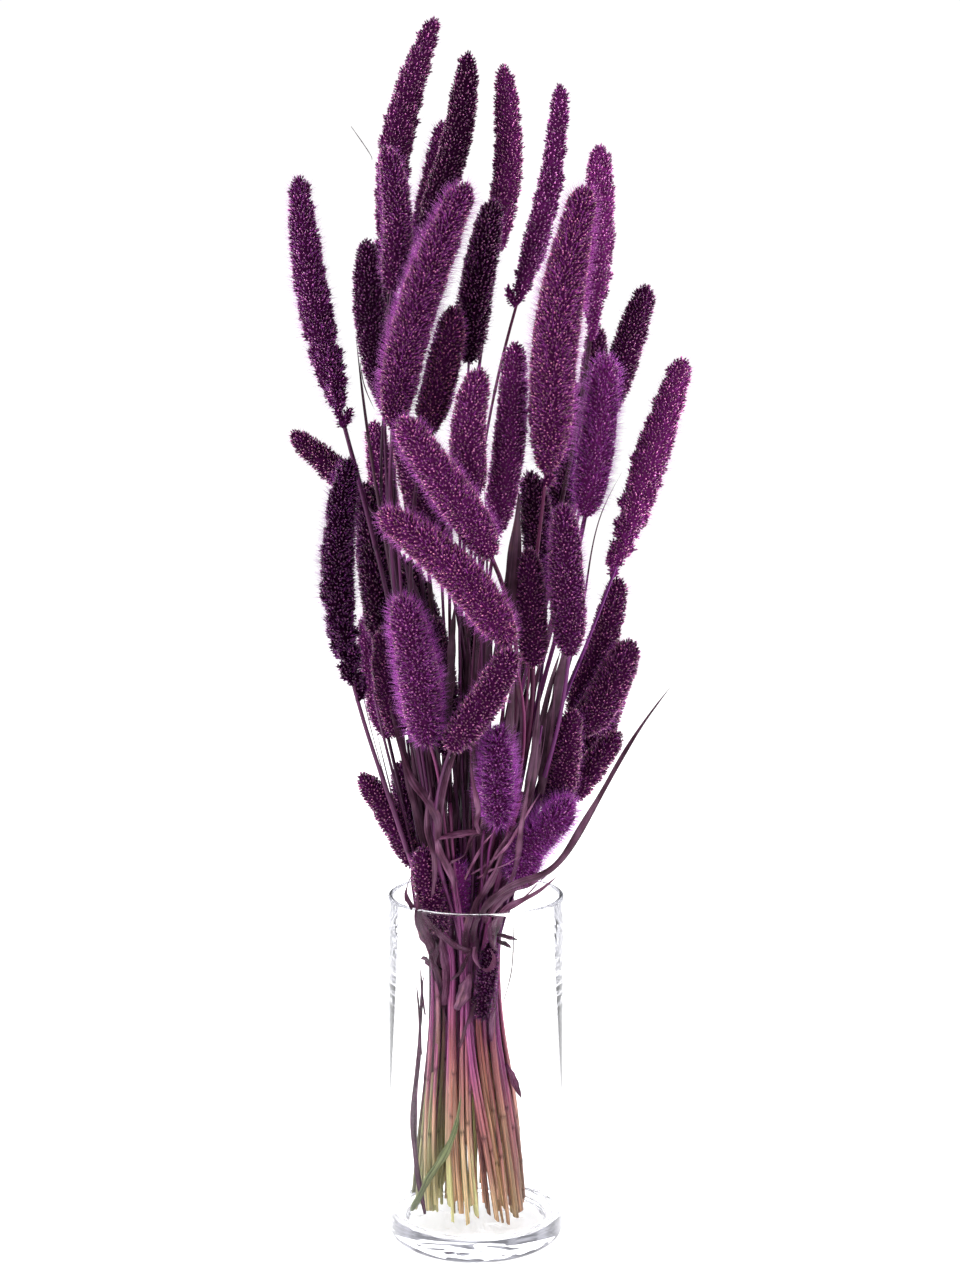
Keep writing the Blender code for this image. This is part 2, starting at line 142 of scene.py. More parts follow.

# Loose bits of leaf that lie on the front of the bunch or deep in it: name, widest half-width, how
# far the flat side turns from its lower end to its upper end, how light it is (the deep ones are made
# dark as painted shade inside the bunch), then points (x, z, how far in front of the bunch, or less
# than zero inside it) in millimetres.
SCRAPS = (
    ("leaf_folded_a", 2.4, (0.3, 0.9), 0.9,
     ((3, 243, 3), (1, 254, 3), (2, 262, 3), (-1, 276, 2), (-3, 290, 0))),
    ("leaf_folded_b", 2.2, (0.4, 0.8), 1.25, ((1, 243, 4), (-11, 243, 6), (-21, 241, 5))),
    ("leaf_folded_c", 2.2, (0.2, 0.4), 0.9,
     ((-21, 241, 5), (-19, 231, 3), (-14, 220, 2), (-12, 208, 1))),
    ("leaf_crossing", 3.0, (0.2, 0.7), 0.85,
     ((-21, 238, 1), (-20, 252, 2), (-27, 264, 2), (-36, 276, 1), (-42, 292, 0))),
    ("leaf_curled", 2.8, (0.9, 2.2), 0.75,
     ((-14, 226, 2), (-5, 230, 4), (-1, 239, 4), (8, 243, 1))),
    ("leaf_straight_a", 1.2, (0.1, 0.5), 1.0,
     ((4, 216, 2), (12, 231, 3), (18, 241, 3), (24, 253, 1))),
    ("leaf_straight_b", 1.1, (0.4, 0.1), 1.5,
     ((-3, 216, 2), (16, 234, 3), (25, 251, 3), (35, 267, 1))),
    ("leaf_straight_c", 1.1, (0.0, 0.6), 1.4, ((-6, 214, 1), (2, 231, 2), (10, 245, 2))),
    ("leaf_short", 1.3, (0.5, 1.1), 1.5, ((1, 215, 3), (11, 222, 5), (18, 227, 5), (24, 231, 4))),
    ("leaf_strip", 2.6, (0.1, 0.4), 0.85,
     ((-6, 170, 1), (-5, 184, 2), (0, 197, 2), (7, 212, 3), (14, 228, 3), (17, 240, 1))),
    ("leaf_sweep_a", 2.9, (0.5, 0.2), 0.8,
     ((2, 188, 2), (7, 200, 3), (18, 208, 4), (32, 215, 4), (45, 226, 2))),
    ("leaf_sweep_b", 1.6, (1.1, 0.4), 0.7,
     ((16, 196, 2), (26, 198, 4), (33, 204, 4), (39, 214, 3), (50, 228, 2), (56, 240, 0))),
    ("leaf_sweep_c", 3.4, (0.4, 0.9), 0.9, ((5, 186, 1), (14, 200, 2), (26, 208, 2), (38, 214, 2))),
    ("leaf_wrap", 3.4, (0.1, 0.3), 0.95,
     ((-23, 168, 1), (-27, 182, 2), (-31, 196, 2), (-32, 208, 1))),
    ("leaf_diagonal", 1.9, (0.3, 0.9), 0.7,
     ((-2, 172, 3), (-9, 175, 3), (-17, 182, 3), (-27, 194, 2), (-32, 204, 1))),
    ("leaf_tail", 1.5, (0.4, 0.1), 0.7, ((-14, 153, 1), (-8, 161, 2), (-3, 173, 3))),
    ("leaf_sheath_a", 2.8, (0.1, 0.4), 1.3,
     ((-18, 138, 1), (-16, 156, 2), (-18, 167, 2), (-19, 181, 1))),
    ("leaf_loop", 2.2, (0.6, 2.8), 1.7,
     ((-1, 174, 2), (1, 166, 5), (6, 164, 6), (10, 168, 5), (8, 175, 2))),
    ("leaf_broad", 4.4, (0.2, 0.9), 0.85,
     ((10, 174, 1), (12, 183, 2), (15, 189, 3), (19, 194, 3), (22, 200, 1))),
    ("leaf_stub_a", 1.3, (0.2, 0.2), 0.6, ((12, 180, 1), (24, 175, 3))),
    ("leaf_stub_b", 1.6, (0.5, 0.5), 0.6, ((12, 178, 1), (20, 172, 2))),
    ("leaf_awn", 0.35, (0.0, 0.0), 0.6, ((15, 140, 1), (20, 160, 2), (21, 175, 3), (22, 190, 3))),
    ("leaf_piece", 4.2, (0.1, 0.2), 1.25, ((-10, 137, 1), (-6, 148, 3), (-3, 160, 1))),
    ("leaf_tip_a", 1.8, (0.2, 0.3), 1.1, ((9, 118, 0), (9, 130, 1), (12, 140, 0))),
    ("leaf_tip_b", 1.5, (0.2, 0.3), 0.8, ((-9, 116, 0), (-3, 134, 1), (1, 146, 0))),
    ("leaf_left_a", 1.1, (0.1, 0.6), 0.8,
     ((-31, 108, 0), (-32, 121, 1), (-31, 144, 2), (-33, 159, 2))),
    ("leaf_left_b", 0.8, (0.1, 0.6), 0.8, ((-29, 130, 0), (-31, 144, 1), (-29, 154, 2))),
    ("leaf_crumple_a", 2.6, (0.3, 3.4), 0.8,
     ((-21, 150, 1), (-25, 158, 2), (-28, 163, 3), (-32, 161, 3))),
    ("leaf_crumple_b", 2.4, (1.3, 4.1), 0.6,
     ((-19, 158, 1), (-24, 163, 3), (-23, 170, 3), (-28, 176, 1))),
    ("leaf_bit", 2.2, (0.8, 0.3), 1.5, ((17, 104, 0), (22, 92, 1), (26, 82, 1))),
    ("leaf_elbow", 2.0, (0.2, 1.6), 0.7, ((-34, 198, 0), (-38, 208, 2), (-35, 219, 1))),
    ("leaf_brown_a", 2.4, (0.2, 0.8), 0.8,
     ((20, 214, 1), (24, 234, 2), (26, 256, 2), (30, 280, 0))),
    ("leaf_deep_a", 3.0, (0.1, 0.3), 0.4,
     ((0, 205, -12), (1, 230, -14), (2, 262, -14), (-2, 300, -10))),
    ("leaf_deep_b", 3.4, (0.0, 0.3), 0.35,
     ((10, 205, -14), (14, 240, -16), (17, 280, -16), (21, 345, -12))),
    ("leaf_deep_c", 3.2, (0.2, 0.5), 0.4,
     ((14, 205, -14), (22, 235, -14), (31, 268, -14), (37, 300, -12))),
    ("leaf_deep_d", 2.6, (0.1, 0.4), 0.4,
     ((-24, 215, -12), (-32, 250, -12), (-40, 285, -12), (-46, 315, -10))),
    ("leaf_deep_e", 3.4, (0.3, 0.1), 0.35,
     ((2, 215, -16), (4, 260, -18), (6, 310, -18), (9, 385, -14))),
    ("leaf_deep_f", 2.8, (0.1, 0.3), 0.4,
     ((18, 215, -16), (28, 260, -16), (38, 310, -16), (46, 345, -12))),
    ("leaf_deep_g", 3.0, (0.0, 0.2), 0.4,
     ((4, 200, -12), (5, 225, -12), (6, 255, -14), (8, 290, -12))),
    ("leaf_deep_h", 3.0, (0.0, 0.2), 0.4,
     ((16, 215, -14), (24, 245, -14), (28, 262, -14), (35, 325, -12))),
    ("leaf_deep_i", 4.0, (0.0, 0.3), 0.35,
     ((36, 262, -14), (42, 300, -14), (47, 328, -14), (51, 362, -12))),
    ("leaf_deep_j", 4.4, (0.0, 0.2), 0.35,
     ((9, 320, -14), (15, 355, -14), (20, 388, -14), (23, 430, -12))),
    ("leaf_deep_k", 2.6, (0.1, 0.2), 0.35, ((-15, 300, -14), (-13, 335, -14), (-11, 372, -12))),
    ("awn_top", 0.3, (0.0, 0.0), 0.3, ((-71, 633, 0), (-63, 621, 0), (-56, 606, 0))),
    ("awn_left", 0.3, (0.0, 0.0), 0.3, ((-61, 497, 0), (-59, 486, 0), (-53, 472, 0))),
    ("leaf_brown_b", 2.0, (0.5, 0.1), 0.75,
     ((-24, 206, 0), (-22, 226, 1), (-26, 246, 1), (-24, 270, 0))),
)

# How light and how wide a long leaf is, where it differs from the plain one.
PLAIN_LEAF = (0.9, 1.0)
LEAF_LOOKS = {
    "leaf_long_right": (0.5, 0.8), "leaf_long_left": (0.35, 1.05), "leaf_thin_right": (0.5, 0.9),
}

# The way that the flat side of a loose leaf faces before it turns, and that of a culm's blade.
LEAF_FACING = (0.25, -0.95, 0.1)
BLADE_FACING = (0.3, -0.95, 0.1)

# The vase's section. The edges under its foot are measured inwards from its outer wall.
HEEL = 6 * MM  # radius of the rounding outside the foot
STANDING_EDGE = 7.5 * MM
RIPPLE_EDGE = 8.5 * MM  # inside this, both faces of the floor are rippled
HOLLOW_EDGE = 9 * MM
HOLLOW = 1.0 * MM  # height of the hollow under the foot
CORNER = 7 * MM  # radius of the rounding inside, between wall and floor
DISH = 0.3 * MM  # how far the floor's face lies below the rounding's end
DISH_EDGE = 2 * MM  # and how far that is from the rounding
STEADY = 32 * MM  # height over the rounding of a ring that holds the wall's shading straight

# Each lamp's place, its size, and its share of the strongest lamp's power.
LAMPS = {
    "lamp_left": ((-1.3, -0.6, 1.0), 0.45, 1.0),
    "lamp_right": ((1.3, -0.3, 0.9), 0.45, 0.7),
    "lamp_back": ((-0.3, 1.0, 1.7), 1.0, 1.0),
}
LAMP_AIM = (0, 0, 0.35)
CAMERA_PLACE = (0.0023, -1.086, 0.467)
CAMERA_TILT = 83.57  # degrees up from looking straight down
LENS, SENSOR = 54.9, 36  # millimetres
FLOOR_DROP = 0.4 * MM
BACKDROP = 1.03  # how bright the room is where it is seen


class Graph:
    """A node tree being built, for a material or for Geometry Nodes."""

    def __init__(self, tree):
        self.tree = tree

    def add(self, kind, inputs=None, **settings):
        """Adds a node: its settings first, then the values or links of its sockets."""
        node = self.tree.nodes.new(kind)
        for name, value in settings.items():
            setattr(node, name, value)
        for key, value in (inputs or {}).items():
            self.join(node, key, value)
        return node

    def join(self, node, key, value):
        """Links a socket, or sets its value."""
        socket = node.inputs[key] if isinstance(key, int) else self.pick(node.inputs, key)
        if isinstance(value, bpy.types.Node):
            value = value.outputs[0]
        if isinstance(value, Value):
            value = value.socket
        if isinstance(value, bpy.types.NodeSocket):
            self.tree.links.new(value, socket)
        else:
            socket.default_value = value

    @staticmethod
    def pick(sockets, name):
        """The socket of that name that the node's settings have turned on."""
        return next(s for s in sockets if s.name == name and s.enabled)

    def value(self, kind, inputs=None, output=0, **settings):
        """Adds a node and returns one of its outputs, ready for maths."""
        node = self.add(kind, inputs, **settings)
        found = node.outputs[output] if isinstance(output, int) else self.pick(node.outputs, output)
        return Value(self, found)


class Value:
    """A node's output that Python's operators work on. Each operator adds its Math node."""

    def __init__(self, graph, socket):
        self.graph = graph
        self.socket = socket

    def math(self, operation, *terms, clamp=False):
        """Another Math node's result."""
        inputs = dict(enumerate(terms))
        return self.graph.value("ShaderNodeMath", inputs, operation=operation, use_clamp=clamp)

    def __add__(self, other):
        return self.math("ADD", self, other)

    def __sub__(self, other):
        return self.math("SUBTRACT", self, other)

    def __mul__(self, other):
        return self.math("MULTIPLY", self, other)

    def __truediv__(self, other):
        return self.math("DIVIDE", self, other)

    def __pow__(self, other):
        return self.math("POWER", self, other)

    def __rsub__(self, other):
        return self.math("SUBTRACT", other, self)

    def __rtruediv__(self, other):
        return self.math("DIVIDE", other, self)

    __radd__ = __add__
    __rmul__ = __mul__

    def clamped(self):
        return self.math("ADD", self, 0.0, clamp=True)

    def between(self, low, high):
        """Rises smoothly from 0 at low to 1 at high."""
        inputs = {"Value": self, "From Min": low, "From Max": high}
        return self.graph.value("ShaderNodeMapRange", inputs, interpolation_type="SMOOTHSTEP")

    def ramp(self, *stops):
        """The colour that a ramp gives for this value."""
        made = self.graph.add("ShaderNodeValToRGB", {"Fac": self})
        elements = made.color_ramp.elements
        while len(elements) < len(stops):
            elements.new(1)
        for element, (place, colour) in zip(elements, stops, strict=True):
            element.position, element.color = place, (*colour, 1)
        return Value(self.graph, made.outputs["Color"])


class Finish(Graph):
    """A material being built round a Principled shader."""

    def __init__(self, name, **plain):
        self.material = bpy.data.materials.new(name)
        self.material.use_nodes = True
        super().__init__(self.material.node_tree)
        self.shader = self.tree.nodes["Principled BSDF"]
        for key, value in plain.items():
            self.shader.inputs[key.replace("_", " ").title().replace("Ior", "IOR")].default_value = value

    def uv(self):
        """The two coordinates of the piece's own map."""
        made = self.add("ShaderNodeUVMap", uv_map=MAP)
        split = self.add("ShaderNodeSeparateXYZ", {0: made})
        return Value(self, split.outputs["X"]), Value(self, split.outputs["Y"])

    def place(self):
        """The three Object coordinates, in metres."""
        made = self.add("ShaderNodeTexCoord")
        split = self.add("ShaderNodeSeparateXYZ", {0: made.outputs["Object"]})
        return [Value(self, split.outputs[k]) for k in "XYZ"]

    def attribute(self, name):
        return self.value("ShaderNodeAttribute", output="Fac", attribute_name=name)

    def noise(self, x, y, z, detail=2.0):
        """Noise from 0 to 1 at a place whose coordinates are already scaled."""
        at = self.add("ShaderNodeCombineXYZ", {0: x, 1: y, 2: z})
        return self.value("ShaderNodeTexNoise", {"Vector": at, "Scale": 1.0, "Detail": detail})

    def mix(self, share, one, two, blend="MIX"):
        """A colour between two, or their product."""
        made = self.add("ShaderNodeMix", data_type="RGBA", blend_type=blend, clamp_factor=True)
        self.join(made, "Factor", share)
        for key, colour in (("A", one), ("B", two)):
            self.join(made, key, (*colour, 1) if isinstance(colour, tuple) else colour)
        return Value(self, self.pick(made.outputs, "Result"))

    def tone(self, colour, strength):
        """A colour made darker or lighter by a number."""
        scale = self.add("ShaderNodeCombineColor", dict.fromkeys(range(3), strength))
        return self.mix(1.0, colour, scale, "MULTIPLY")

    def colour(self, value):
        self.join(self.shader, "Base Color", value)

    def growth(self, room):
        """How far up a grain or bristle a place is, and that one's own tone, both from 0 to 1."""
        grow, tone = self.uv()
        return grow, (tone - room[0]) / (room[1] - room[0])

    def bump(self, height, depth):
        made = self.add("ShaderNodeBump", {"Height": height, "Distance": depth})
        self.join(self.shader, "Normal", made)


def smooth_line(through, count):
    """A natural cubic spline through the given points, as a dense row of points."""
    knots = np.asarray(through, float)
    steps = np.linalg.norm(np.diff(knots, axis=0), axis=1)
    at = np.concatenate(([0], np.cumsum(steps)))
    bends = np.zeros((len(knots), len(knots)))
    pull = np.zeros_like(knots)
    bends[0, 0] = bends[-1, -1] = 1
    for i in range(1, len(knots) - 1):
        bends[i, i - 1 : i + 2] = steps[i - 1], 2 * (steps[i - 1] + steps[i]), steps[i]
        slopes = np.diff(knots[i - 1 : i + 2], axis=0) / steps[i - 1 : i + 1, None]
        pull[i] = 6 * (slopes[1] - slopes[0])
    second = np.linalg.solve(bends, pull)
    where = np.linspace(0, at[-1], count)
    i = np.clip(np.searchsorted(at, where) - 1, 0, len(steps) - 1)
    run, left, right = steps[i], at[i + 1] - where, where - at[i]
    curve = (second[i].T * left**3 + second[i + 1].T * right**3) / (6 * run)
    line = (knots[i].T / run - second[i].T * run / 6) * left
    line += (knots[i + 1].T / run - second[i + 1].T * run / 6) * right
    return (curve + line).T


def lengths(line):
    """How far along a line each of its points is."""
    steps = np.linalg.norm(np.diff(line, axis=0), axis=1)
    return np.concatenate(([0], np.cumsum(steps)))


def along(line, distances):
    """Points at the given distances along a line."""
    at = lengths(line)
    return np.stack([np.interp(distances, at, x) for x in line.T], 1)


def layers_from(start):
    """A mesh's points in layers, by how many edges away from the first one they are."""
    layers, seen = [[start]], {start}
    while layers[-1]:
        near = {e.other_vert(v) for v in layers[-1] for e in v.link_edges} - seen
        seen |= near
        layers.append(sorted(near, key=lambda v: v.index))
    return layers[:-1]


def rings_of(name):
    """The rings of points that a strand's solid is made of, from its lower end to its tip."""
    bm = bmesh.new()
    bm.from_mesh(NODES[name].data)
    bmesh.ops.remove_doubles(bm, verts=bm.verts, dist=MM / 100)
    bm.verts.index_update()
    tip = layers_from(min(bm.verts, key=lambda v: v.co.z))[-1][0]
    rings = [np.array([v.co for v in layer], float) for layer in layers_from(tip)]
    bm.free()
    return rings[::-1]


class Strand:
    """The line and half-widths of a stalk's or a leaf's solid, read from the frame."""

    def __init__(self, name):
        rings = rings_of(name)
        self.knots = np.array([ring.mean(0) for ring in rings])
        self.sizes = [np.linalg.norm(r - r.mean(0), axis=1).max() for r in rings]
        self.line = smooth_line(self.knots, LINE_POINTS)
        at = lengths(self.line)
        nearest = [np.linalg.norm(self.line - k, axis=1).argmin() for k in self.knots]
        self.places = at[nearest]
        self.length = at[-1]

    def radius(self, distances):
        return np.interp(distances, self.places, self.sizes)


def frames(points, facing=(0.0, -1.0, 0.0)):
    """For each point of a line: its run, and two directions across it."""
    run = np.gradient(points, axis=0)
    run /= np.linalg.norm(run, axis=1, keepdims=True)
    side = np.cross(run, facing)
    side /= np.linalg.norm(side, axis=1, keepdims=True)
    return run, side, np.cross(run, side)


class Shell:
    """One piece's surface, gathered grid by grid, with its map and its marks."""

    MARKS = ("head", "fringe", "joint")
    CAP = 0.004  # how far a closed end reaches on in the map

    def __init__(self):
        self.points, self.faces, self.map, self.slots, self.rises = [], [], [], [], []
        self.marks = {name: [] for name in self.MARKS}
        self.count = 0

    def grid(self, rings, us, vs, slot, sink=0.0, **marks):
        """Adds a closed tube of rings. Each end closes on a middle point; the lower one is sunk by a
        distance.
        """
        n, k = rings.shape[:2]
        run = frames(rings.mean(1))[0]
        ends = [rings[0].mean(0) + run[0] * sink, rings[-1].mean(0)]
        self.points.append(np.concatenate((rings.reshape(-1, 3), ends)))
        self.rises.append(np.concatenate((np.repeat(run, k, axis=0), run[[0, -1]])))
        for name in self.MARKS:
            value = np.asarray(marks.get(name, 0.0), float)
            value = np.broadcast_to(value[:, None] if value.ndim == 1 else value, (n, k))
            self.marks[name].append(np.concatenate((value.ravel(), value[[0, -1], 0])))
        low, high = self.count + n * k, self.count + n * k + 1
        for i in range(n - 1):
            a, b = self.count + i * k, self.count + (i + 1) * k
            for j in range(k):
                m = (j + 1) % k
                self.faces.append((a + j, a + m, b + m, b + j))
                near, far = (vs[j], vs[j + 1]), (vs[j + 1], vs[j])
                self.map += [(us[i], v) for v in near] + [(us[i + 1], v) for v in far]
        last = self.count + (n - 1) * k
        under, over = us[0] - self.CAP, us[-1] + self.CAP
        for j in range(k):
            m = (j + 1) % k
            self.faces.append((low, self.count + m, self.count + j))
            self.map += ((under, (vs[j] + vs[j + 1]) / 2), (us[0], vs[j + 1]), (us[0], vs[j]))
            self.faces.append((high, last + j, last + m))
            self.map += ((over, (vs[j] + vs[j + 1]) / 2), (us[-1], vs[j]), (us[-1], vs[j + 1]))
        self.slots += [slot] * ((n + 1) * k)
        self.count += n * k + 2

    def mesh(self, name, finishes):
        """The gathered surface as a mesh."""
        made = bpy.data.meshes.new(name)
        made.from_pydata(np.concatenate(self.points), [], self.faces)
        made.uv_layers.new(name=MAP).data.foreach_set("uv", np.array(self.map).ravel())
        for finish in finishes:
            made.materials.append(finish.material)
        made.polygons.foreach_set("material_index", self.slots)
        for mark, values in self.marks.items():
            stored = made.attributes.new(mark, "FLOAT", "POINT")
            stored.data.foreach_set("value", np.concatenate(values))
        rises = np.concatenate(self.rises).ravel()
        made.attributes.new("rise", "FLOAT_VECTOR", "POINT").data.foreach_set("vector", rises)
        made.shade_smooth()
        return made


def piece(name, mesh):
    """A new object for a mesh whose place is in its points."""
    made = bpy.data.objects.new(name, mesh)
    bpy.context.scene.collection.objects.link(made)
    return made


def circle(points, radii, sides, turn=0.0):
    """Rings of points round a line."""
    _, side, up = frames(points)
    angles = np.arange(sides) * TAU / sides + turn
    ring = side[:, None] * np.cos(angles)[:, None] + up[:, None] * np.sin(angles)[:, None]
    return points[:, None] + ring * np.asarray(radii).reshape(len(points), -1)[:, :, None]


def arc(x, z, radius, angles, count):
    """Points on an arc of an outline, between two angles in degrees."""
    turns = np.radians(np.linspace(*angles, count))
    return [(x + radius * math.cos(a), z + radius * math.sin(a)) for a in turns]


def ribbon(points, widths, facing, turn, half=2, fold=0.3):
    """Rings of a thin leaf round a line. Its flat side faces facing, turned by an angle."""
    _, side, up = frames(points, facing)
    angle = np.broadcast_to(turn, len(points))[:, None]
    across = side * np.cos(angle) + up * np.sin(angle)
    lift = up * np.cos(angle) - side * np.sin(angle)
    steps = np.cos(np.linspace(0, np.pi, half * 2 + 1))
    ring = [(c, 1) for c in steps] + [(c, -1) for c in steps[::-1][1:-1]]
    c, sign = np.transpose(ring)
    bend = np.broadcast_to(fold, len(points))[:, None] * np.abs(c) * widths[:, None]
    thick = LEAF_THICKNESS / 2 * (1 - c * c) * sign
    rings = points[:, None] + across[:, None] * (c * widths[:, None])[:, :, None]
    return rings + lift[:, None] * (bend + thick)[:, :, None], (np.append(c, c[0]) + 1) / 2


def band(low, high, count):
    """Even steps over a band of the map."""
    return np.linspace(low, high, count)


class Bunch:
    """The outer form of all the stalks together, that loose leaves lie on."""

    def __init__(self, strands):
        steps = [np.arange(0, strand.length, 2 * MM) for strand in strands]
        pairs = list(zip(strands, steps, strict=True))
        self.points = np.concatenate([along(strand.line, at) for strand, at in pairs])
        self.sizes = np.concatenate([strand.radius(at) for strand, at in pairs])

    def front(self, x, z):
        """How far to the front the bunch reaches at a place, sloping off beside it."""
        near = np.abs(self.points[:, 2] - z) < 4 * MM
        points, sizes = self.points[near], self.sizes[near]
        aside = np.maximum(np.abs(points[:, 0] - x) - sizes, 0)
        return (points[:, 1] - sizes + aside * 1.2).min()


# ---------------------------------------------------------------- finishes


def culm_finish():
    """Dyed straw: violet where it stood in the dye, and the straw's own colour at the foot."""
    made = Finish("millet_culm", roughness=0.45, specular_ior_level=0.25)
    x, _, z = made.place()
    along_it, round_it = made.uv()
    tone, hue, depth = (made.attribute(name) for name in ("tone", "hue", "depth"))
    streak = made.noise(along_it * 7.0, round_it * 170.0, tone * 40.0, 3.0)
    blotch = made.noise(x * 120.0, z * 30.0, tone * 17.0)
    dye_line = 0.25  # about how many metres up the culms have their full dye
    level = (z + (tone - 0.5) * 0.07 + (blotch - 0.5) * 0.06) / dye_line
    green = level.ramp(
        (0.05, (0.68, 0.63, 0.34)), (0.22, (0.5, 0.48, 0.23)), (0.36, (0.4, 0.22, 0.18)),
        (0.5, (0.34, 0.09, 0.23)), (0.66, (0.18, 0.04, 0.14)), (0.95, (0.07, 0.013, 0.055)))
    peach = level.ramp(
        (0.05, (0.66, 0.44, 0.24)), (0.22, (0.62, 0.35, 0.23)), (0.4, (0.5, 0.17, 0.18)),
        (0.56, (0.37, 0.08, 0.25)), (0.72, (0.16, 0.035, 0.12)), (0.95, (0.1, 0.012, 0.055)))
    coral = level.ramp(
        (0.05, (0.6, 0.33, 0.22)), (0.22, (0.56, 0.26, 0.24)), (0.4, (0.42, 0.1, 0.2)),
        (0.58, (0.32, 0.05, 0.24)), (0.72, (0.13, 0.022, 0.13)), (0.95, (0.14, 0.015, 0.16)))
    low = made.mix((hue * 2.0).clamped(), green, peach)
    colour = made.mix((hue * 2.0 - 1.0).clamped(), low, coral)
    # Streaks and dark joints are the straw's own; the depth mark is painted shade that darkens culms at
    # the back of the bunch.
    strength = (streak.between(0.25, 0.75) * 1.1 + 0.4) * (1.0 - made.attribute("joint") * 0.55) * depth
    made.colour(made.tone(colour, strength))
    made.bump(streak, 0.00015)
    return made


def core_finish():
    """The inside of a seed head, seen between its grains: dark plum, made near black as painted shade.
    """
    made = Finish("millet_core", roughness=0.9, specular_ior_level=0.0)
    x, y, z = made.place()
    patch = made.noise(x * 400.0, y * 400.0, z * 400.0)
    made.colour(made.tone((0.035, 0.004, 0.03), (0.5 + patch) * made.attribute("shade") ** 2.0))
    return made


def grain_finish(look):
    """Husked grains: plum, with painted shade at each root and painted highlights at the rosy tips,
    glinting on some.
    """
    made = Finish("millet_grain", roughness=0.3, specular_ior_level=0.45)
    grow, tone = made.growth(GRAIN_BAND)
    shade, warmth = made.attribute("shade"), made.attribute("warmth")
    # Along each grain: painted shade at the root, down among the others, then its plum, then a painted
    # highlight at the tip.
    cool = grow.ramp((0.1, (0.04, 0.006, 0.038)), (0.64, (0.17, 0.034, 0.148)), (0.93, look.cool_tip_highlights))
    rosy = grow.ramp((0.1, (0.035, 0.003, 0.019)), (0.64, (0.19, 0.03, 0.088)), (0.93, look.rosy_tip_highlights))
    # A few grains, picked at random, are made far brighter: painted glints.
    strength = (0.55 + 3.0 * tone ** 4.0) * shade
    made.colour(made.tone(made.mix(warmth, cool, rosy), strength))
    return made


def bristle_finish():
    """Fine bristles, violet at the root and paler at the tip; both ends are partly painted light."""
    made = Finish("millet_bristle", roughness=0.5, specular_ior_level=0.03)
    grow, tone = made.growth(BRISTLE_BAND)
    shade, warmth = made.attribute("shade"), made.attribute("warmth")
    # The dark roots are painted shade among the grains; the pale tips are partly the bristles' own
    # colour and partly painted light for the glow of backlit bristles.
    cool = grow.ramp((0.0, (0.1, 0.002, 0.115)), (0.4, (0.36, 0.045, 0.4)), (1.0, (0.65, 0.24, 0.72)))
    rosy = grow.ramp((0.0, (0.11, 0.002, 0.085)), (0.4, (0.36, 0.045, 0.33)), (1.0, (0.66, 0.24, 0.62)))
    strength = (0.62 + 0.75 * tone) * (0.25 + 0.75 * shade)
    made.colour(made.tone(made.mix(warmth, cool, rosy), strength))
    return made


def leaf_finish():
    """Dry leaf: mauve and grey violet, with fine veins along it and brown patches."""
    made = Finish("dry_leaf", roughness=0.5, specular_ior_level=0.15)
    x, y, z = made.place()
    along_it, across = made.uv()
    tone, dye = made.attribute("tone"), made.attribute("dye")
    veins = made.noise(along_it * 3.0, across * 260.0, tone * 30.0, 3.0)
    patch = made.noise(x * 110.0, y * 110.0, z * 70.0 + tone * 9.0, 3.0)
    dyed = patch.ramp((0.3, (0.06, 0.013, 0.035)), (0.45, (0.14, 0.043, 0.095)),
                      (0.6, (0.22, 0.09, 0.17)), (0.75, (0.28, 0.12, 0.16)))
    plain = patch.ramp((0.3, (0.2, 0.24, 0.11)), (0.7, (0.38, 0.42, 0.22)))
    strength = (0.35 + veins.between(0.25, 0.75)) * made.attribute("leaf_shade")
    height = (z + (tone - 0.5) * 0.06).between(0.04, 0.15)
    made.colour(made.tone(made.mix((dye * 2.0 - 1.0 + height).clamped(), plain, dyed), strength))
    made.bump(veins, 0.0003)
    return made


def glass_finish(look):
    """Clear glass, a little grey where it is thick."""
    made = Finish("clear_glass", roughness=0.0, ior=look.ior, transmission_weight=1.0)
    made.shader.inputs["Base Color"].default_value = (1, 1, 1, 1)
    made.shader.inputs["Specular Tint"].default_value = (*[look.sheen] * 3, 1)
    taken = {"Color": (*look.tint, 1), "Density": look.density}
    volume = made.add("ShaderNodeVolumeAbsorption", taken)
    made.join(made.tree.nodes["Material Output"], "Volume", volume)
    return made


# ---------------------------------------------------------------- seed heads


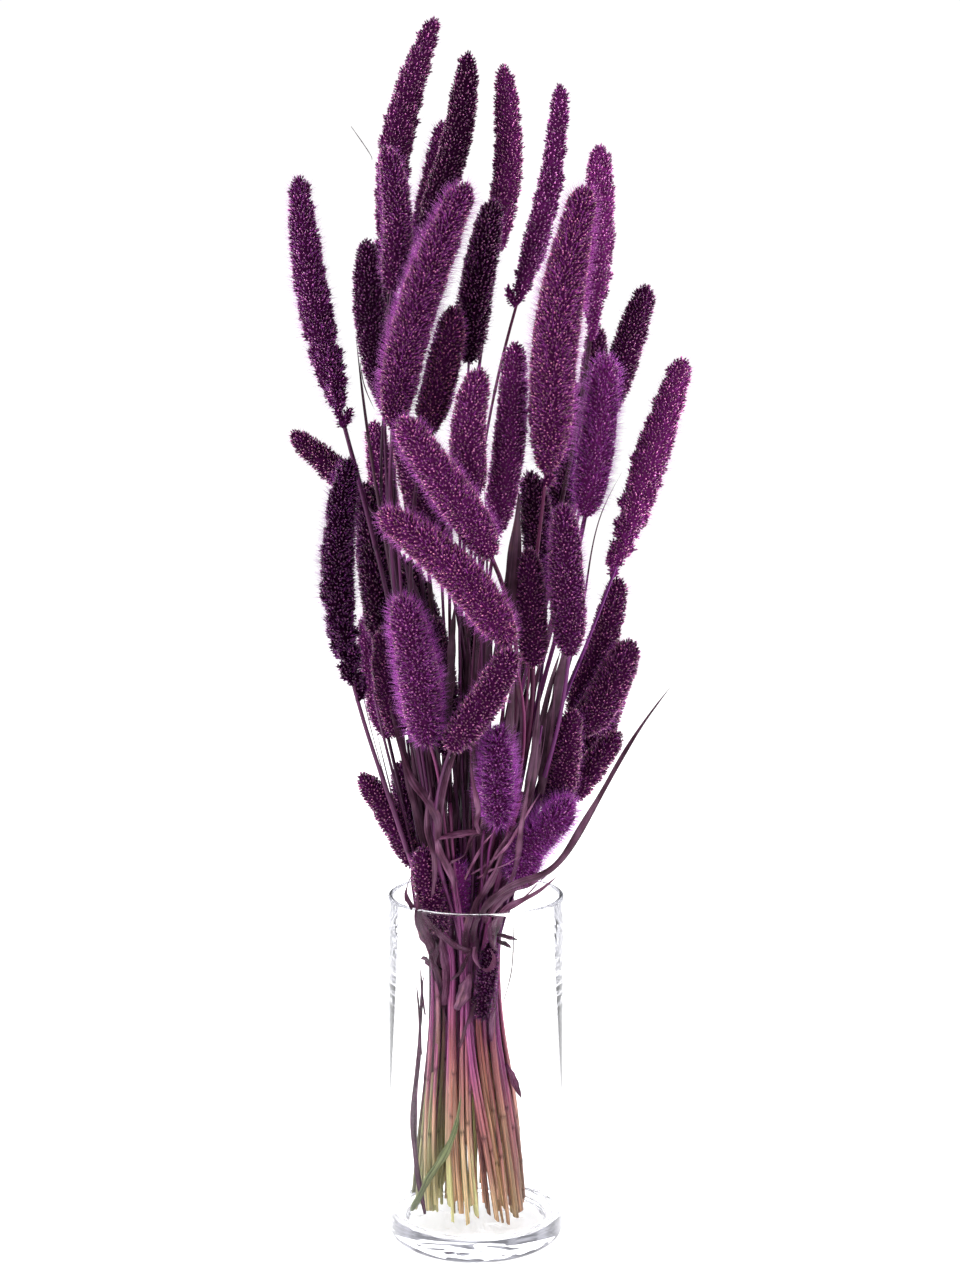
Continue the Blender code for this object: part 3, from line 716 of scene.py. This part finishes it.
class HeadTree(Graph):
    """The Geometry Nodes that dress the faces marked as a seed head."""

    SIZES = ("Grain Spacing", "Grain Length", "Grain Width", "Bristle Density", "Bristle Length",
             "Bristle Width", "Grain Slant", "Bristle Slant")
    LEAN = 0.35  # how far each one leans to any side by chance

    def __init__(self):
        super().__init__(bpy.data.node_groups.new("Millet Head", "GeometryNodeTree"))
        face = self.tree.interface
        face.new_socket("Geometry", in_out="INPUT", socket_type="NodeSocketGeometry")
        face.new_socket("Geometry", in_out="OUTPUT", socket_type="NodeSocketGeometry")
        sockets = {name: face.new_socket(name, in_out="INPUT", socket_type="NodeSocketFloat")
                   for name in self.SIZES}
        sockets["Seed"] = face.new_socket("Seed", in_out="INPUT", socket_type="NodeSocketInt")
        for name in ("Grain Finish", "Bristle Finish"):
            sockets[name] = face.new_socket(name, in_out="INPUT", socket_type="NodeSocketMaterial")
        self.keys = {name: made.identifier for name, made in sockets.items()}
        given = self.add("NodeGroupInput")
        self.given = {s.name: Value(self, s) for s in given.outputs if s.name}
        self.build()

    def named(self, name, kind="FLOAT"):
        """An attribute of the mesh."""
        inputs = {"Name": name}
        return self.value("GeometryNodeInputNamedAttribute", inputs, "Attribute", data_type=kind)

    def store(self, geometry, name, value, kind="FLOAT", domain="POINT"):
        """Keeps a value in an attribute of the mesh."""
        inputs = {"Geometry": geometry, "Name": name, "Value": value}
        return self.add("GeometryNodeStoreNamedAttribute", inputs, data_type=kind, domain=domain)

    def random(self, low, high, seed, kind="FLOAT"):
        inputs = {"Min": low, "Max": high, "Seed": seed}
        return self.value("FunctionNodeRandomValue", inputs, "Value", data_type=kind)

    def vector(self, operation, *terms):
        return self.value("ShaderNodeVectorMath", dict(enumerate(terms)), operation=operation)

    def shape(self, mesh):
        """Marks a grain's or bristle's own mesh with its height and its side."""
        at = self.add("ShaderNodeSeparateXYZ", {0: self.add("GeometryNodeInputPosition")})
        mesh = self.store(mesh, "grow", Value(self, at.outputs["Z"]))
        return self.store(mesh, "side", Value(self, at.outputs["X"]))

    def grown(self, seats, shape, length, width, slant, vary, seed, room, finish):
        """Stands one shape on every seat, leaning up the head, and makes it plain mesh."""
        jitter = self.random((-self.LEAN,) * 3, (self.LEAN,) * 3, seed, "FLOAT_VECTOR")
        rise = {0: self.named("rise", "FLOAT_VECTOR"), "Scale": slant}
        rise = self.add("ShaderNodeVectorMath", rise, operation="SCALE")
        way = self.vector("ADD", self.vector("ADD", seats.outputs["Normal"], rise), jitter)
        spin = self.add("ShaderNodeCombineXYZ", {2: self.random(0.0, TAU, seed + 1)})
        spin = {"Rotation": self.add("FunctionNodeEulerToRotation", {0: spin}), "Vector": way}
        turn = self.add("FunctionNodeAlignRotationToVector", spin, axis="Z")
        size = self.random(1 - vary, 1 + vary, seed + 2)
        scale = self.add("ShaderNodeCombineXYZ", {0: width, 1: width, 2: length * size})
        points = self.store(seats, "tone", self.random(0.0, 1.0, seed + 3))
        inputs = {"Points": points, "Instance": shape, "Rotation": turn, "Scale": scale}
        made = self.add("GeometryNodeInstanceOnPoints", inputs)
        made = self.add("GeometryNodeRealizeInstances", {"Geometry": made})
        low, high = room
        share = self.named("tone") * 0.9 + 0.05 + self.named("side") * 0.04
        place = {0: self.named("grow") * 0.92 + 0.04, 1: share * (high - low) + low}
        made = self.store(made, MAP, self.add("ShaderNodeCombineXYZ", place), "FLOAT2", "CORNER")
        for name in ("tone", "side", "grow"):
            made = self.add("GeometryNodeRemoveAttribute", {"Geometry": made, "Name": name})
        made = self.add("GeometryNodeSetShadeSmooth", {0: made})
        return self.add("GeometryNodeSetMaterial", {"Geometry": made, "Material": finish})

    def build(self):
        given = self.given
        head = self.named("head")
        marked = self.value("FunctionNodeCompare", {0: head, 1: 0.01}, operation="GREATER_THAN")
        where = {"Mesh": given["Geometry"], "Selection": marked, "Seed": given["Seed"]}
        inputs = {**where, "Density Factor": head, "Distance Min": given["Grain Spacing"],
                  "Density Max": 1.6 / given["Grain Spacing"] ** 2.0}
        spread = "GeometryNodeDistributePointsOnFaces"
        seats = self.add(spread, inputs, distribute_method="POISSON")
        seed = given["Seed"] * 10.0
        ball = self.add("GeometryNodeMeshUVSphere", {"Segments": 3, "Rings": 2, "Radius": 1.0})
        place = {"Geometry": ball, "Translation": (0, 0, 0.4), "Scale": (1, 1, 0.5)}
        ball = self.add("GeometryNodeTransform", place)
        grains = self.grown(
            seats, self.shape(ball), given["Grain Length"], given["Grain Width"] * 0.5,
            given["Grain Slant"], 0.22, seed, GRAIN_BAND, given["Grain Finish"])
        inputs = {**where, "Density": given["Bristle Density"] * head}
        roots = self.add(spread, inputs, distribute_method="RANDOM")
        sizes = {"Vertices": 3, "Radius Top": 0.0, "Radius Bottom": 1.0, "Depth": 1.0}
        cone = self.add("GeometryNodeMeshCone", sizes).outputs["Mesh"]
        long = given["Bristle Length"] * self.named("fringe")
        bristles = self.grown(
            roots, self.shape(cone), long, given["Bristle Width"] * 0.5,
            given["Bristle Slant"], 0.45, seed + 5.0, BRISTLE_BAND, given["Bristle Finish"])
        joined = self.add("GeometryNodeJoinGeometry")
        for branch in (bristles, grains, given["Geometry"].socket.node):
            self.tree.links.new(branch.outputs[0], joined.inputs[0])
        self.add("NodeGroupOutput", {0: joined})


def head_core(shell, strand, start, style, number):
    """The lobed core that the grains sit on."""
    finish = strand.length - CORE_END * MM
    count = int((finish - start) / (CORE_STEP * MM))
    distances = np.linspace(start + CORE_START * MM, finish, count)
    points = along(strand.line, distances)
    share = (distances - start) / (strand.length - start)
    away = circle(points, np.ones(count), CORE_SIDES) - points[:, None]
    outer = strand.radius(distances) * (0.98 - 0.12 * style.bristles)
    # The tip is blunter than the solid's, and rounded over its last few millimetres.
    top = outer.max() * np.interp(share, (0.75, 1), (0.92, 0.6))
    base = np.where(share > 0.75, np.maximum(outer, top), outer) * (1 - style.taper * share**2)
    base *= np.sqrt(np.clip((finish + 0.5 * MM - distances) / (6 * MM), 0, 1))
    low = np.clip(1 - share / 0.5, 0, 1) * style.broken
    radii = np.empty((count, CORE_SIDES))
    dressed = np.ones((count, CORE_SIDES))
    for i in range(count):
        for j in range(CORE_SIDES):
            at = Vector(points[i] + away[i, j] * base[i]) / MM
            near = noise.voronoi(at / LOBE_SIZE + Vector((number * 7.0, 0, 0)))[0][0]
            gap = noise.noise(at / HOLLOW_SIZE + Vector((0, number * 5.0, 0)))
            hollow = low[i] * min(1.0, max(0.0, 0.5 + 2.6 * gap))
            lobe = (0.4 - near) * LOBE_HEIGHT * MM * style.lobes * min(1.0, base[i] / (4 * MM))
            radii[i, j] = base[i] * (1 - hollow) + lobe
            dressed[i, j] = min(1.0, max(0.0, 3 - 4 * hollow))
    rings = points[:, None] + away * np.maximum(radii, CORE_LEAST * MM)[:, :, None]
    us, vs = band(*LENGTHWISE, count), band(*CORE_BAND, CORE_SIDES + 1)
    fringe = np.interp(share, (0, 0.1, 0.9, 1), (0.6, 1, 1, 0.8))
    shell.grid(rings, us, vs, CORE, head=dressed, fringe=fringe)


def clusters(shell, strand, start, count, rng):
    """Small side clusters that hang on where the lower end of a head is broken."""
    steps, sides = 7, 8
    share = np.linspace(0, 1, steps)
    for k in range(count):
        foot = along(strand.line, [start + rng.uniform(-8, 16) * MM])[0]
        way, reach = rng.uniform(0, TAU), rng.uniform(3, 6) * MM
        tip = foot + (math.cos(way) * reach, math.sin(way) * reach, rng.uniform(6, 11) * MM)
        radii = rng.uniform(1.6, 2.6) * MM * np.sin(np.pi * (0.12 + 0.8 * share))
        rings = circle(foot + (tip - foot) * share[:, None], radii, sides)
        low = k / count
        us, vs = band(low + 0.01, low + 0.8 / count, steps), band(*CLUSTER_BAND, sides + 1)
        shell.grid(rings, us, vs, CORE, head=np.ones(steps), fringe=np.full(steps, 0.8))


def culm(shell, strand, stop, cut_off, rng, room=CULM_BAND, girth=1.0, aside=(0.0, 0.0)):
    """A jointed culm with its leaf sheaths, from the cut foot into the seed head or beside it."""
    joints = []
    at = cut_off + rng.uniform(*FIRST_JOINT) * MM
    while at < stop - 40 * MM:
        joints.append(at)
        at += rng.uniform(*JOINT_GAPS) * MM
    distances = set(np.arange(cut_off, stop, CULM_STEP * MM))
    for joint in joints:
        distances |= {joint + d * MM for d in JOINT_RINGS}
    distances = np.array(sorted(distances))
    radii = np.interp(distances, strand.places[:-HEAD_RINGS], strand.sizes[:-HEAD_RINGS])
    radii = radii * rng.uniform(0.7, 0.95) * girth
    mark = np.zeros(len(distances))
    for joint in joints:
        near = np.exp(-(((distances - joint) / (JOINT_WIDTH * MM)) ** 2))
        radii *= 1 + 0.25 * near
        mark = np.maximum(mark, near)
        sheath = joint + rng.uniform(*SHEATHS) * MM
        radii *= 1 + 0.15 * ((distances > joint) & (distances < sheath))
    points = along(strand.line, distances)
    points[:, :2] += np.array(aside) * np.interp(distances, *SHOOT_SPREAD)[:, None]
    sides = 8
    flat = 1 + 0.2 * np.cos(np.arange(sides) * TAU / sides * 2)
    rings = circle(points, radii[:, None] * flat, sides, rng.uniform(0, TAU))
    rings[0, :, 2] += rng.uniform(0.2, 1.2) * MM * np.cos(np.arange(sides) * TAU / sides)
    us, vs = band(*LENGTHWISE, len(points)), band(*room, sides + 1)
    shell.grid(rings, us, vs, CULM, sink=0.8 * MM, joint=mark)


def blades(shell, strand, stop, look, rng):
    """Dried blades that part from their culm and run along it."""
    for room, span in zip(BLADE_BANDS, BLADE_STARTS, strict=True):
        begin = rng.uniform(*span) * MM
        length = rng.uniform(*BLADE_LENGTHS) * MM
        if begin + length * 0.6 > stop:
            continue
        count = int(length / (4 * MM))
        share = np.linspace(0, 1, count)
        points = along(strand.line, np.minimum(begin + share * length, strand.length))
        inward = -points[0] * (1, 1, 0)
        inward /= max(np.linalg.norm(inward), MM)
        angle = rng.uniform(-1.3, 1.3)
        way = np.array((inward[0] * math.cos(angle) - inward[1] * math.sin(angle),
                        inward[0] * math.sin(angle) + inward[1] * math.cos(angle), 0))
        part = 1.3 * MM + rng.uniform(*BLADES_APART) * MM * share**1.6
        wave = rng.uniform(*BLADE_WAVES) * MM * np.sin(share * rng.uniform(2, 6) + rng.uniform(0, TAU))
        points = points + way * (part + wave * share)[:, None]
        points[:, 2] -= rng.uniform(*BLADE_DROOPS) * MM * share**3
        taper = (0.5 + 0.5 * np.sin(np.pi * (0.15 + 0.85 * share))) * (1.02 - share**4)
        widths = rng.uniform(*look.blade_widths) * taper
        turn = rng.uniform(0, TAU) + rng.uniform(-1.6, 1.6) * share
        rings, across = ribbon(points, widths, BLADE_FACING, turn, fold=rng.uniform(0.1, 0.6))
        low, high = room
        shell.grid(rings, band(*LENGTHWISE, count), low + (high - low) * across, BLADE)


def add_marks(mesh, **marks):
    """Gives a whole mesh the same value of each mark."""
    for name, value in marks.items():
        made = mesh.attributes.new(name, "FLOAT", "POINT")
        made.data.foreach_set("value", np.full(len(mesh.vertices), value, np.float32))


class MILLET_OT_stalks(bpy.types.Operator):
    """Build every stalk: its culm, and its seed head with grains and bristles"""

    bl_idname = "millet.stalks"
    bl_label = "Stalks"

    def execute(self, context):
        look = context.scene.millet_heads
        finishes = [culm_finish(), core_finish(), leaf_finish()]
        dressings = {"Grain Finish": grain_finish(look).material,
                     "Bristle Finish": bristle_finish().material}
        tree = HeadTree()
        for name in sorted(n for n in NODES if n.startswith("stalk_")):
            number = int(name.split("_")[1])
            style = Style(*STYLES.get(number, ()))
            rng = np.random.default_rng(number)
            strand = Strand(name)
            shell = self.grow(strand, style, number, look, rng)
            raw = piece("raw", shell.mesh("raw", finishes))
            radius = max(strand.sizes[-HEAD_RINGS:])
            mesh = self.dress(context, raw, tree, look, style, radius, number, dressings)
            mesh.name = name.replace("stalk", "millet")
            x, y, _ = strand.line[0]
            # Culms to the right are rosier; those at the back are darker, which is painted shade for
            # their place deep in the bunch.
            hue = np.clip(0.3 + x / (65 * MM) + rng.normal(0, 0.22), 0, 1)
            add_marks(mesh, shade=style.shade, warmth=style.warmth, tone=rng.uniform(0, 1), hue=hue,
                      dye=0.5, depth=np.interp(y, (-0.02, 0.03), (1.15, 0.4)) * rng.uniform(0.5, 1.35),
                      leaf_shade=rng.uniform(0.25, 0.85))
            made = piece(mesh.name, mesh)
            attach(made, "root")
            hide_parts(name)
        return {"FINISHED"}

    @staticmethod
    def grow(strand, style, number, look, rng):
        """The plain surfaces of one stalk: two culms, the head's core and the dried blades."""
        shell = Shell()
        start = strand.places[-HEAD_RINGS - 1]
        inside = max(10 * MM, style.broken * 0.5 * (strand.length - start))
        culm(shell, strand, start + inside, rng.uniform(0, 12) * MM, rng)
        way, foot = rng.uniform(0, TAU), strand.line[0]
        apart = rng.uniform(*SHOOTS_APART) * MM
        aside = np.array((math.cos(way), math.sin(way))) * apart - foot[:2] * 0.1
        culm(shell, strand, min(rng.uniform(*SHOOT_ENDS) * MM, start), rng.uniform(0, 16) * MM, rng,
             SHOOT_BAND, SHOOT_GIRTH, aside)
        head_core(shell, strand, start, style, number)
        clusters(shell, strand, start, round(style.broken * 10), rng)
        blades(shell, strand, start, look, rng)
        return shell

    @staticmethod
    def dress(context, raw, tree, look, style, radius, number, dressings):
        """Grows the grains and bristles on one stalk and returns it all as plain mesh."""
        modifier = raw.modifiers.new("dressing", "NODES")
        modifier.node_group = tree.tree
        values = {"Grain Spacing": look.grain_spacing, "Grain Length": look.grain_length,
                  "Grain Width": look.grain_width,
                  "Bristle Density": look.bristle_density * style.bristles**2,
                  "Bristle Length": (radius * 0.2 + 2.0 * MM) * style.bristles,
                  "Bristle Width": look.bristle_width, "Grain Slant": look.grain_slant,
                  "Bristle Slant": look.bristle_slant, "Seed": number, **dressings}
        for key, value in values.items():
            modifier[tree.keys[key]] = value
        ready = raw.evaluated_get(context.evaluated_depsgraph_get())
        mesh = bpy.data.meshes.new_from_object(ready)
        bpy.data.objects.remove(raw)
        return mesh


class MILLET_OT_vase(bpy.types.Operator):
    """Turn the glass vase"""

    bl_idname = "millet.vase"
    bl_label = "Vase"

    def execute(self, context):
        look = context.scene.millet_glass
        low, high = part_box("vase")
        radius = (high.x - low.x) / 2
        mesh = self.turned(self.outline(look, radius, high.z), look, radius)
        mesh.materials.append(glass_finish(look).material)
        made = piece("glass_vase", mesh)
        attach(made, "root")
        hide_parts("vase")
        return {"FINISHED"}

    @staticmethod
    def outline(look, radius, height):
        """The points of half the vase's section, from under the foot over the rim to the floor."""
        floor, inside, lip = look.floor, radius - look.wall, look.wall / 2
        line = [(r, HOLLOW) for r in np.linspace(0, radius - HOLLOW_EDGE, 10)]
        line.append((radius - STANDING_EDGE, 0.0))
        line += arc(radius - HEEL, HEEL, HEEL, (-90, 0), 10)
        line += arc(radius - lip, height - lip, lip, (0, 180), 12)
        line.append((inside, floor + CORNER + STEADY))
        line += arc(inside - CORNER, floor + CORNER, CORNER, (0, -90), 10)
        line += [(r, floor - DISH) for r in np.linspace(inside - CORNER - DISH_EDGE, 0, 10)]
        return line

    @staticmethod
    def turned(outline, look, radius):
        """The solid that the outline sweeps, with ripples in both faces of the floor."""
        sides = look.sides
        bm = bmesh.new()
        rings = []
        for r, z in outline:
            ring = []
            for a in np.arange(sides if r else 1) * TAU / sides:
                at = Vector((r * math.cos(a), r * math.sin(a), z))
                if r < radius - RIPPLE_EDGE:
                    at.z += noise.noise(at / look.ripple) * look.ripple_depth
                ring.append(bm.verts.new(at))
            rings.append(ring)
        for lower, upper in zip(rings, rings[1:]):
            for k in range(sides):
                n = (k + 1) % sides
                corners = [ring[i % len(ring)] for ring, i in
                           ((lower, k), (lower, n), (upper, n), (upper, k))]
                bm.faces.new(list(dict.fromkeys(corners)))
        bmesh.ops.recalc_face_normals(bm, faces=bm.faces)
        mesh = bpy.data.meshes.new("glass_vase")
        bm.to_mesh(mesh)
        bm.free()
        mesh.shade_smooth()
        return mesh


class MILLET_OT_leaves(bpy.types.Operator):
    """Build the long dry leaves, and the loose bits of leaf round the bunch's neck"""

    bl_idname = "millet.leaves"
    bl_label = "Leaves"

    def execute(self, context):
        finish = leaf_finish()
        strands = {name: Strand(name) for name in sorted(NODES) if name != "vase"}
        bunch = Bunch([strand for name, strand in strands.items() if name.startswith("stalk_")])
        for name, strand in strands.items():
            if not name.startswith("leaf_"):
                continue
            count = int(strand.length / (3 * MM)) + 8
            distances = np.linspace(0, strand.length * 0.998, count)
            share = distances / strand.length
            shade, width = LEAF_LOOKS.get(name, PLAIN_LEAF)
            widths = np.interp(distances, strand.places, strand.sizes) * (1 - 0.6 * share) * width
            points, turn = along(strand.line, distances), 0.5 * np.sin(share * 7)
            dye = 0.0 if "pale" in name else 1.0
            self.leaf(finish, name.replace("leaf", "blade"), points, widths, turn, shade, dye, name)
        for name, half_width, turn, shade, route in SCRAPS:
            knots = [(x * MM, bunch.front(x * MM, z * MM) - lift * MM, z * MM) for x, z, lift in route]
            line = smooth_line(knots, 60)
            count = int(lengths(line)[-1] / (3 * MM)) + 6
            share = np.linspace(0, 1, count)
            points = along(line, share * lengths(line)[-1])
            widths = half_width * MM * (0.55 + 0.45 * np.sin(np.pi * share)) * (1.02 - share**6)
            self.leaf(finish, name, points, widths, np.interp(share, (0, 1), turn), shade, 1.0)
        return {"FINISHED"}

    @staticmethod
    def leaf(finish, name, points, widths, turn, shade, dye, node=None):
        """Builds one leaf along a line."""
        rng = np.random.default_rng(sum(map(ord, name)))
        share = np.linspace(0, 1, len(points))
        ragged = 1 + 0.12 * np.sin(share * rng.uniform(15, 30) + rng.uniform(0, TAU))
        fold = 0.3 + 0.2 * np.sin(share * rng.uniform(5, 12) + rng.uniform(0, TAU))
        rings, across = ribbon(points, widths * ragged, LEAF_FACING, turn, half=3, fold=fold)
        shell = Shell()
        low, high = BLADE_BANDS[0]
        shell.grid(rings, band(*LENGTHWISE, len(points)), low + (high - low) * across, 0)
        mesh = shell.mesh(name, [finish])
        add_marks(mesh, leaf_shade=shade, tone=rng.uniform(0, 1), dye=dye)
        made = piece(name, mesh)
        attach(made, "root")
        if node:
            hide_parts(node)


class MILLET_OT_stage(bpy.types.Operator):
    """Set the floor, the lamps and the camera"""

    bl_idname = "millet.stage"
    bl_label = "Stage"

    def execute(self, context):
        scene = context.scene
        look = scene.millet_stage
        self.floor(look)
        self.lamps(scene, look)
        self.room(scene, look)
        self.camera(scene)
        scene.view_settings.view_transform = "Standard"
        for kind in ("max_bounces", "transmission_bounces", "glossy_bounces"):
            setattr(scene.cycles, kind, look.bounces)
        return {"FINISHED"}

    @staticmethod
    def floor(look):
        """White paper that glows a little, so that it stays white to its far edge."""
        paper = Finish("white_paper", roughness=0.9, specular_ior_level=0.1)
        x, y, z = paper.place()
        paper.colour(paper.tone((0.93, 0.93, 0.93), 0.99 + 0.02 * paper.noise(x * 9.0, y * 9.0, z)))
        paper.shader.inputs["Emission Color"].default_value = (1, 1, 1, 1)
        paper.shader.inputs["Emission Strength"].default_value = look.floor_glow
        bm = bmesh.new()
        bmesh.ops.create_grid(bm, x_segments=8, y_segments=8, size=look.floor_size)
        mesh = bpy.data.meshes.new("floor")
        bm.to_mesh(mesh)
        bm.free()
        mesh.materials.append(paper.material)
        made = piece("floor", mesh)
        made.location.z = -FLOOR_DROP

    @staticmethod
    def lamps(scene, look):
        """Three soft lamps that all point at the bunch."""
        for name, (place, size, share) in LAMPS.items():
            lamp = bpy.data.lights.new(name, "AREA")
            lamp.size, lamp.energy = size, look.lamp_power * share
            made = bpy.data.objects.new(name, lamp)
            scene.collection.objects.link(made)
            made.location = place
            aim = Vector(LAMP_AIM) - Vector(place)
            made.rotation_euler = aim.to_track_quat("-Z", "Y").to_euler()

    @staticmethod
    def camera(scene):
        """The camera, in front of the vase and a little above its rim."""
        lens = bpy.data.cameras.new("camera")
        lens.lens, lens.sensor_width = LENS, SENSOR
        made = bpy.data.objects.new("camera", lens)
        scene.collection.objects.link(made)
        made.location = CAMERA_PLACE
        made.rotation_euler = (math.radians(CAMERA_TILT), 0, 0)
        scene.camera = made

    @staticmethod
    def room(scene, look):
        """A white room: bright where it is seen, dimmer and cloudy where the glass mirrors it."""
        world = bpy.data.worlds.new("studio")
        world.use_nodes = True
        scene.world = world
        graph = Graph(world.node_tree)
        path = graph.add("ShaderNodeLightPath")
        seen, through, sharp, shiny, diffuse, mirrors = (
            Value(graph, path.outputs[name]) for name in
            ("Is Camera Ray", "Is Transmission Ray", "Is Singular Ray", "Is Glossy Ray",
             "Diffuse Depth", "Glossy Depth"))
        clear = (seen + through + sharp).clamped() * (1.0 - diffuse.clamped())
        ways = graph.add("ShaderNodeTexCoord").outputs["Generated"]
        cloud = graph.value("ShaderNodeTexNoise", {"Vector": ways, "Scale": 5.0, "Detail": 3.0})
        mirrored = look.mirrored + cloud.between(0.4, 0.65) * 0.4
        backdrop = BACKDROP - mirrors.clamped() * (BACKDROP - mirrored)
        light = look.room_light * (1.0 - shiny * look.glare_cut)
        cool = 1.0 - mirrors.clamped() * 0.1
        background = world.node_tree.nodes["Background"]
        shade = graph.add("ShaderNodeCombineColor", {0: cool, 1: cool, 2: 1.0})
        graph.join(background, "Color", shade)
        graph.join(background, "Strength", clear * backdrop + (1.0 - clear) * light)


def size_prop(name, description, default, **more):
    """A number in the sidebar."""
    return bpy.props.FloatProperty(name=name, description=description, default=default, **more)


def length_prop(name, description, default, **more):
    """A length in the sidebar, given in millimetres."""
    return size_prop(name, description, default * MM, unit="LENGTH", precision=5, **more)


def colour_prop(name, description, default):
    """A colour in the sidebar."""
    return bpy.props.FloatVectorProperty(
        name=name, description=description, default=default, subtype="COLOR")


class HeadSizes(bpy.types.PropertyGroup):
    """The sizes of the seed heads' small parts"""

    grain_spacing: length_prop("Grain Spacing", "Least distance between two grains", 1.24, min=0.5 * MM)
    grain_length: length_prop("Grain Length", "Length of a grain in its husk", 2.3)
    grain_width: length_prop("Grain Width", "Width of a grain in its husk", 1.3)
    grain_slant: size_prop("Grain Slant", "How far the grains lean towards the tip", 0.5)
    bristle_density: size_prop("Bristle Density", "Bristles on a square metre of a head's core", 0.36e6)
    bristle_width: length_prop("Bristle Width", "Width of a bristle at its root", 0.2)
    bristle_slant: size_prop("Bristle Slant", "How far the bristles lean towards the tip", 0.4)
    # The colours of the grains' tips are painted highlights.
    cool_tip_highlights: colour_prop(
        "Cool Tips", "Colour of the grains' tips on the most violet heads", (0.74, 0.53, 0.56))
    rosy_tip_highlights: colour_prop(
        "Rosy Tips", "Colour of the grains' tips on the rosiest heads", (0.92, 0.66, 0.46))
    blade_widths: bpy.props.FloatVectorProperty(
        name="Blade Half-widths", description="Least and most half-width of the dried blades",
        default=(1.0 * MM, 2.4 * MM), size=2, unit="LENGTH", precision=5)


class GlassSizes(bpy.types.PropertyGroup):
    """The vase's glass"""

    wall: length_prop("Wall", "Thickness of the vase's wall", 3.2)
    floor: length_prop("Floor", "Thickness of the vase's floor", 13)
    ripple: length_prop("Ripple", "Size of the waves in the vase's floor", 8)
    ripple_depth: length_prop("Ripple Depth", "Height of the waves in the vase's floor", 0.4)
    sides: bpy.props.IntProperty(name="Sides", description="Faces round the vase", default=128)
    ior: size_prop("IOR", "Index of refraction", 1.5)
    sheen: size_prop("Sheen", "How strongly glass seen head-on mirrors the room", 0.0)
    density: size_prop("Absorption", "How much light the glass takes in on its way", 1.8)
    tint: colour_prop("Tint", "Colour of thick glass", (0.78, 0.78, 0.86))


class StageSizes(bpy.types.PropertyGroup):
    """The floor and the light"""

    floor_size: size_prop("Floor", "Half the floor's width", 4.0, unit="LENGTH")
    floor_glow: size_prop("Floor Glow", "Light that the white paper gives of its own", 0.7)
    lamp_power: size_prop("Lamp Power", "Power of the strongest lamp", 22.0, unit="POWER")
    room_light: size_prop("Room Light", "Strength of the white room's light", 0.55)
    mirrored: size_prop("Mirrored", "How bright the backdrop is in the glass's reflections", 0.28)
    glare_cut: size_prop("Glare Cut", "Share of the room's light that gives no shine", 0.8)
    bounces: bpy.props.IntProperty(
        name="Bounces", description="Turns that light may take inside the glass", default=32)


class MILLET_PT_bench(bpy.types.Panel):
    """Buttons for every step, with the sizes that they use"""

    bl_label = "Dried Millet Vase"
    bl_idname = "MILLET_PT_bench"
    bl_space_type = "VIEW_3D"
    bl_region_type = "UI"
    bl_category = "Millet"

    def draw(self, context):
        for step in STEPS:
            self.layout.operator(step.bl_idname)
        for group in GROUPS:
            sizes = getattr(context.scene, group)
            for key in sizes.bl_rna.properties.keys():
                if key not in ("rna_type", "name"):
                    self.layout.prop(sizes, key)


STEPS = (MILLET_OT_stage, MILLET_OT_vase, MILLET_OT_stalks, MILLET_OT_leaves)
GROUPS = {"millet_heads": HeadSizes, "millet_glass": GlassSizes, "millet_stage": StageSizes}


def register():
    for group, sizes in GROUPS.items():
        bpy.utils.register_class(sizes)
        setattr(bpy.types.Scene, group, bpy.props.PointerProperty(type=sizes))
    for step in (*STEPS, MILLET_PT_bench):
        bpy.utils.register_class(step)


def unregister():
    for step in (*STEPS, MILLET_PT_bench):
        bpy.utils.unregister_class(step)
    for group, sizes in GROUPS.items():
        delattr(bpy.types.Scene, group)
        bpy.utils.unregister_class(sizes)


def main():
    register()
    for step in STEPS:
        area, name = step.bl_idname.split(".")
        getattr(getattr(bpy.ops, area), name)()


if __name__ == "__main__":
    main()
